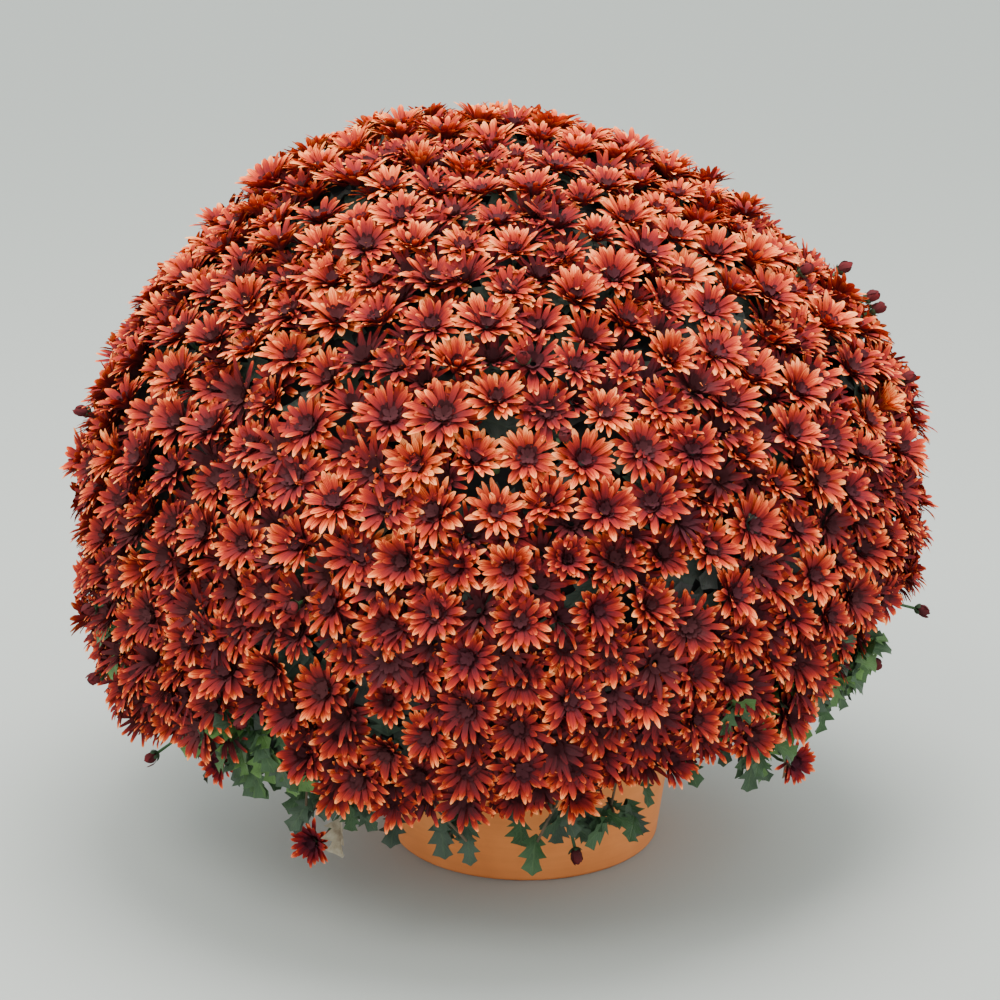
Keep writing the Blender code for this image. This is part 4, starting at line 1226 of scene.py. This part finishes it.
def spray_back(cell):
    """The middle of a spray's back, where its branch ends."""
    ring, start, end = cell
    middle = np.array(0.5 * (start + end))
    low, high = ring_limits(ring, middle)
    theta = 0.5 * (low + high) if ring else np.array(CAP_MIDDLE)
    return on_dome(theta, middle, RELIEF + SPRAY_THICKNESS)


def twig_ends(cell, rng):
    """Places behind one spray where its twigs end."""
    ring, start, end = cell
    azimuth = rng.uniform(start, end, TWIGS)
    low, high = ring_limits(ring, azimuth)
    theta = low + (high - low) * rng.uniform(*TWIG_SPAN, TWIGS)
    return on_dome(theta, azimuth, SHADE_SHEET_DEPTH + TWIG_GAP)


def in_sector(azimuth, cell):
    """Whether an azimuth in degrees falls in the sector of a cell."""
    _ring, start, end = cell
    return (math.radians(azimuth) - start) % (2 * math.pi) < end - start


def leaf_angle(azimuth, row):
    """The polar angle of a leaf under the skirt, in the higher row where a side bloom hangs near it."""
    edge = skirt(azimuth + np.radians((-LEAF_SPAN, 0.0, LEAF_SPAN))).max()
    theta = edge + math.radians(row)
    blooms = np.radians([bloom[:2] for bloom in SIDE_BLOOMS])
    nearest = (direction(blooms[:, 0], blooms[:, 1]) @ direction(theta, azimuth)).max()
    return edge + math.radians(LEAF_ROWS[0]) if nearest > math.cos(math.radians(SIDE_ROOM)) else theta


def add_leafy_tips(leaves, base, along, rng):
    """Adds the leaves of tips as long as the solids' leaves, one at each end and others at the sides."""
    side = unit(np.cross(along, (0.0, 0.0, 1.0)))
    up = unit(along + (0.0, 0.0, TIP_RISE))
    size = LEAF_LENGTH * np.where(along[:, 1] < FRONT, FRONT_SIZE, 1.0)
    for start, aside, share in TIP_LEAVES:
        way = unit(along + side * aside - (0.0, 0.0, TIP_DROOP) + rng.normal(0, TIP_JITTER, along.shape))
        length = size * share * rng.uniform(*TIP_LENGTHS, len(base))
        # Darker tones: painted shade under the dome's edge
        tone = rng.uniform(*TIP_SHADED_TONES, len(base))
        turned = up + rng.normal(0, TIP_TILT, up.shape)
        add_leaves(leaves, base + along * (size * start)[:, None], way, turned, length, rng, tone)


def add_patch_leaves(leaves, cell, rng):
    """Adds the leaves that show in the patches without blooms, over the sector of one cell."""
    for theta, azimuth, radius, count in LEAF_PATCHES:
        if not in_sector(azimuth, cell):
            continue
        out = toward(theta, azimuth)
        aside = around(*square_to(out), rng.uniform(0, 2 * math.pi, (count, 1)))
        away = radius * np.sqrt(rng.uniform(0, 1, (count, 1)))
        place = on_dome(*angles_of(out * MEAN_R + away * aside), rng.uniform(*PATCH_DEPTHS, count))
        way = unit(PATCH_SPREAD * aside + PATCH_RISE * out - (0, 0, PATCH_DROOP))
        up = out + (0, 0, PATCH_UP) + rng.normal(0, PATCH_TILT, place.shape)
        length = rng.uniform(*PATCH_LENGTHS, count)
        # Patches low on the dome take the darker tones: painted shade
        tone = rng.uniform(*(PATCH_TONES if theta < LOW_PATCH else LOW_SHADED_TONES), count)
        add_leaves(leaves, place - way * PATCH_SHIFT * length[:, None], way, up, length, rng, tone)


def skirt_tips(cell):
    """Directions of the leafy tips below the skirt, where the solids' leaves are."""
    _ring, start, end = cell
    turn = np.arange(LEAVES_A_SHOOT) - 0.5 * (LEAVES_A_SHOOT - 1)
    azimuth = 0.5 * (start + end) + turn * math.radians(LEAF_SECTOR / LEAVES_A_SHOOT)
    theta = [leaf_angle(at, row) for at, row in zip(azimuth, np.resize(LEAF_ROWS, LEAVES_A_SHOOT))]
    return direction(np.array(theta), azimuth)


def add_skirt_leaves(leaves, stems, cell, bend, seat, rng):
    """Adds the leafy tips below the skirt, and single leaves between and behind them, with their stalks."""
    _ring, start, end = cell
    tip_out = skirt_tips(cell)
    tip_base = CENTRE + tip_out * LEAF_BASE_R
    add_leafy_tips(leaves, tip_base, tip_out, rng)
    azimuth = rng.uniform(start, end, SKIRT_LEAVES + LOW_LEAVES)
    below = np.append(rng.uniform(*SKIRT_BELOW, SKIRT_LEAVES), rng.uniform(*LOW_BELOW, LOW_LEAVES))
    far = np.append(rng.uniform(*SKIRT_REACH, SKIRT_LEAVES), rng.uniform(*LOW_REACH, LOW_LEAVES))
    out = direction(skirt(azimuth) + np.radians(below), azimuth)
    base = CENTRE + out * far[:, None]
    along = unit(out - (0, 0, SKIRT_DROOP) + rng.normal(0, SKIRT_JITTER, out.shape))
    length = rng.uniform(*PATCH_LENGTHS, len(out))
    up = out + (0, 0, SKIRT_RISE) + rng.normal(0, SKIRT_TILT, out.shape)
    # Darker tones: painted shade under the dome
    add_leaves(leaves, base, along, up, length, rng, rng.uniform(*LOW_SHADED_TONES, len(out)))
    out, base = np.concatenate([tip_out, out]), np.concatenate([tip_base, base])
    root = bend + (seat - bend) * rng.uniform(*LEAF_STALK_STARTS, (len(base), 1))
    path = np.stack([root, 0.5 * (root + base) - out * LEAF_STALK_BEND, base + out * LEAF_STALK_BEND], 1)
    add_stems(stems, path, LEAF_STALK_RADII, LEAF_STALK_GRID, LEAF_STALK_TONE)
    tip_path = np.stack([tip_base, tip_base + tip_out * TIP_STALK_SHARE * LEAF_LENGTH], 1)
    add_tubes(stems, tip_path, TIP_STALK_RADII, THIN_SIDES, LEAF_STALK_TONE, LEAF_STALK_TONE)


def make_dry_leaves(name, cell, straw, rng):
    """The dead leaves that hang from one shoot, where it has any."""
    for theta, azimuth, reach, length in DRY_LEAVES:
        if in_sector(azimuth, cell):
            out = toward(theta, azimuth)[None]
            base = CENTRE + out * reach
            along = unit(out - (0.0, 0.0, DRY_HANG))
            leaf = Shape()
            add_leaves(leaf, base, along, out, np.array([length]), rng, np.ones(1), DRY_FOLD, DRY_DROOP)
            stalk = np.stack([CENTRE + out * (reach - DRY_STALK), base], 1)
            add_tubes(leaf, stalk, DRY_STALK_RADII, THIN_SIDES, WOOD_TONE, WOOD_TONE)
            leaf.piece(name + "_dry_leaf", straw, "foliage", [name])


def make_shoot(number, green, wood, straw):
    """One shoot: its stems in one piece, its leaves under the dome's edge in another, and its dead leaf."""
    rng = np.random.default_rng(SEED + 20 + number)
    name = f"shoot_{number + 1}"
    stems, leaves = Shape(), Shape()
    every = cells()
    radial = direction(0.5 * math.pi, shoot_azimuth(number))
    fork = radial * FORK_R + (FORK_LEAN * DOME_CENTRE[0], 0, FORK_HEIGHT)
    foot = radial * SHOOT_CIRCLE_R
    trunk = [[foot + (0, 0, SOIL_TOP - TRUNK_SUNK), foot + (0, 0, SOIL_TOP + COLLAR), fork]]
    add_stems(stems, trunk, (TRUNK_R, TRUNK_R * TRUNK_TAPER), TRUNK_GRID, WOOD_TONE)
    for index in cells_of_shoot(number):
        seat = spray_back(every[index])
        bow = BRANCH_BOW if every[index][0] == len(CELL_RINGS) else 0.0
        bend = 0.5 * (fork + seat) + (radial + (0, 0, 1)) * bow
        add_stems(stems, [[fork, bend, seat]], (BRANCH_R, TWIG_R), BRANCH_GRID, WOOD_TONE)
        for end in twig_ends(every[index], rng):
            start = bend + (seat - bend) * rng.uniform(*TWIG_STARTS)
            twig = [[start, 0.5 * (start + end) + rng.normal(0, TWIG_JITTER, 3), end]]
            add_stems(stems, twig, (TWIG_R * TWIG_TAPER, TWIG_END_R), TWIG_GRID, WOOD_TONE)
    low_cell = every[cells_of_shoot(number)[-1]]
    add_skirt_leaves(leaves, stems, low_cell, bend, seat, rng)
    add_patch_leaves(leaves, low_cell, rng)
    stems.piece(name + "_stems", wood, "foliage", [name])
    leaves.piece(name + "_leaves", green, "foliage", [name])
    make_dry_leaves(name, low_cell, straw, rng)


# Side blooms

def make_side_bloom(number, bloom, petals, green):
    """A detailed bloom on its own long stalk."""
    rng = np.random.default_rng(SEED + 40 + number)
    theta, azimuth, reach, faced = bloom
    out, facing = toward(theta, azimuth), toward(SIDE_FACING, faced)
    middle = CENTRE + out * reach
    flowers, leaves = Shape(), Shape()
    # The low tone in these values is painted shade
    values = alike(1, *SIDE_VALUES)
    add_flowers(flowers, BLOOM_LAYERS, middle[None], facing[None], *values, rng)
    add_flowers(flowers, HEART_LAYERS, middle[None], facing[None], *values, rng)
    start = CENTRE + toward(theta - SIDE_STALK_ABOVE, azimuth) * SIDE_STALK_REACH
    low = CENTRE + out * (reach - SIDE_STALK_DIP)
    path = curved([[start, low, middle - facing * SIDE_STALK_BACK, middle + facing * SIDE_STALK_TOP]],
                  SIDE_STALK_ROWS)
    radii = np.append(np.full(SIDE_STALK_ROWS - 1, SIDE_STALK_R), SIDE_STALK_TOP_R)
    add_tubes(leaves, path, radii, SIDE_STALK_SIDES, SIDE_STALK_TONE, SIDE_STALK_TONE)
    name = f"side_bloom_{number}"
    flowers.piece(name + "_petals", petals, "petals", [name])
    leaves.piece(name + "_stalk", green, "foliage", [name])


# Pot and soil

def pot_radius(height):
    return POT_BASE_R + (POT_TOP_R - POT_BASE_R) * height / POT_HEIGHT


def turned_mesh(name, outline, sides):
    """A smooth solid of revolution about Z, whose outline starts and ends on the axis."""
    work = bmesh.new()
    verts = [work.verts.new((radius, 0.0, height)) for radius, height in outline]
    edges = [work.edges.new(pair) for pair in zip(verts, verts[1:])]
    bmesh.ops.spin(work, geom=verts + edges, cent=(0, 0, 0), axis=(0, 0, 1), angle=2 * math.pi, steps=sides,
                   use_merge=True, use_duplicate=False)
    bmesh.ops.remove_doubles(work, verts=work.verts, dist=MERGE_DISTANCE)
    bmesh.ops.recalc_face_normals(work, faces=work.faces)
    mesh = bpy.data.meshes.new(name)
    work.to_mesh(mesh)
    work.free()
    return mesh


def rounded(corners):
    """An outline with its inner corners rounded, and its two ends left as they are."""
    points = [Vector(corner) for corner in corners]
    found = [points[0]]
    for before, corner, after in zip(points, points[1:], points[2:]):
        nearest = min((before - corner).length, (after - corner).length)
        size = min(CORNER_R, CORNER_SHARE * nearest)
        first = corner + (before - corner).normalized() * size
        last = corner + (after - corner).normalized() * size
        for k in range(CORNER_STEPS + 1):
            t = k / CORNER_STEPS
            found.append(first.lerp(corner, t).lerp(corner.lerp(last, t), t))
    return [tuple(point) for point in (*found, points[-1])]


def cut_away(target, cutter):
    """Cuts the cutter out of the target for good, and removes it."""
    boolean = target.modifiers.new("cut", "BOOLEAN")
    boolean.operation = "DIFFERENCE"
    boolean.solver = "EXACT"
    boolean.object = cutter
    bpy.context.view_layer.update()
    mesh = bpy.data.meshes.new_from_object(target.evaluated_get(bpy.context.evaluated_depsgraph_get()))
    target.modifiers.clear()
    target.data = mesh
    bpy.data.objects.remove(cutter, do_unlink=True)


def make_pot(clay):
    """The clay pot, hollow, with its lip and its drain holes."""
    lip = POT_HEIGHT - LIP_HEIGHT
    corners = [
        (0.0, 0.0),
        (POT_BASE_R - POT_FOOT_BEVEL, 0.0),
        (pot_radius(POT_FOOT_BEVEL), POT_FOOT_BEVEL),
        (pot_radius(lip), lip),
        (pot_radius(lip) + LIP_PROUD, lip + LIP_SLOPE),
        (POT_TOP_R + LIP_PROUD, POT_HEIGHT),
        (POT_TOP_R - POT_WALL, POT_HEIGHT),
        (pot_radius(POT_FLOOR) - POT_WALL, POT_FLOOR),
        (0.0, POT_FLOOR),
    ]
    mesh = turned_mesh("pot_clay", rounded(corners), POT_SIDES)
    pot = dress("pot_clay", mesh, clay, ["pot"])
    outline = [(0, HOLE_LOW), (DRAIN_HOLE_R, HOLE_LOW), (DRAIN_HOLE_R, HOLE_HIGH), (0, HOLE_HIGH)]
    for number in range(DRAIN_HOLES):
        turn = 2 * math.pi * (number + 0.5) / DRAIN_HOLES
        cutter = placed("hole", turned_mesh("hole", outline, HOLE_SIDES))
        cutter.location = (DRAIN_CIRCLE_R * math.cos(turn), DRAIN_CIRCLE_R * math.sin(turn), 0)
        cut_away(pot, cutter)


def make_soil(earth):
    """The potting mix: a filled body with a crumbly, uneven top."""
    radius = pot_radius(SOIL_TOP) - POT_WALL - SOIL_GAP
    low = POT_FLOOR + SOIL_GAP
    outline = [(0.0, low), (pot_radius(low) - POT_WALL - SOIL_GAP, low)]
    for ring in range(SOIL_RINGS):
        height = SOIL_TOP - SOIL_CROWN * (1 - ring / SOIL_RINGS) ** 3
        outline.append((radius - ring * radius / SOIL_RINGS, height))
    mesh = turned_mesh("soil_crumbs", outline + [(0.0, SOIL_TOP)], SOIL_SIDES)
    for vert in mesh.vertices:
        if vert.co.z > SOIL_TOP - 2 * SOIL_CROWN and vert.co.xy.length < radius - SOIL_EDGE:
            vert.co.z += bumps_at(vert.co, SOIL_BUMPS)
    dress("soil_mix", mesh, earth, ["soil"])


# Floor, lights and camera

def make_floor():
    mesh = bpy.data.meshes.new("floor")
    corners = [(x * FLOOR_HALF, y * FLOOR_HALF, 0) for x, y in ((-1, -1), (1, -1), (1, 1), (-1, 1))]
    mesh.from_pydata(corners, [], [(0, 1, 2, 3)])
    finish, tree, shader, _place = new_finish("pale_floor")
    set_inputs(tree, shader, {"Base Color": FLOOR_COLOUR, "Roughness": FLOOR_ROUGHNESS})
    mesh.materials.append(finish)
    floor = placed("floor", mesh)


def soft_light(name, place, size, power, colour):
    lamp = bpy.data.lights.new(name, "AREA")
    lamp.shape = "DISK"
    lamp.size = size
    lamp.energy = power
    lamp.color = colour
    made = placed(name, lamp)
    made.location = place
    made.rotation_euler = (Vector(LAMP_AIM) - Vector(place)).to_track_quat("-Z", "Y").to_euler()


def make_lights():
    world = bpy.data.worlds.new("studio")
    world.use_nodes = True
    sky = world.node_tree.nodes["Background"]
    set_inputs(world.node_tree, sky, {"Color": SKY_COLOUR, "Strength": SKY_STRENGTH})
    bpy.context.scene.world = world
    for lamp in LAMPS:
        soft_light(*lamp)


def make_camera():
    data = bpy.data.cameras.new("camera")
    data.lens = CAMERA_LENS
    data.sensor_width = CAMERA_SENSOR
    camera = placed("camera", data)
    tilt = math.radians(CAMERA_ELEVATION)
    camera.location = Vector(CAMERA_AIM) + CAMERA_FAR * Vector((0, -math.cos(tilt), math.sin(tilt)))
    camera.rotation_euler = (0.5 * math.pi - tilt, 0, 0)
    bpy.context.scene.camera = camera


def make_plant():
    petals, green, wood, straw = petal_finish(), leaf_finish(), stem_finish(), dry_leaf_finish()
    make_sprays(petals, green)
    for number in range(SHOOTS):
        make_shoot(number, green, wood, straw)
    for number, bloom in enumerate(SIDE_BLOOMS, 1):
        make_side_bloom(number, bloom, petals, green)


make_camera()
make_lights()
make_floor()
make_pot(clay_finish())
make_soil(soil_finish())
make_plant()
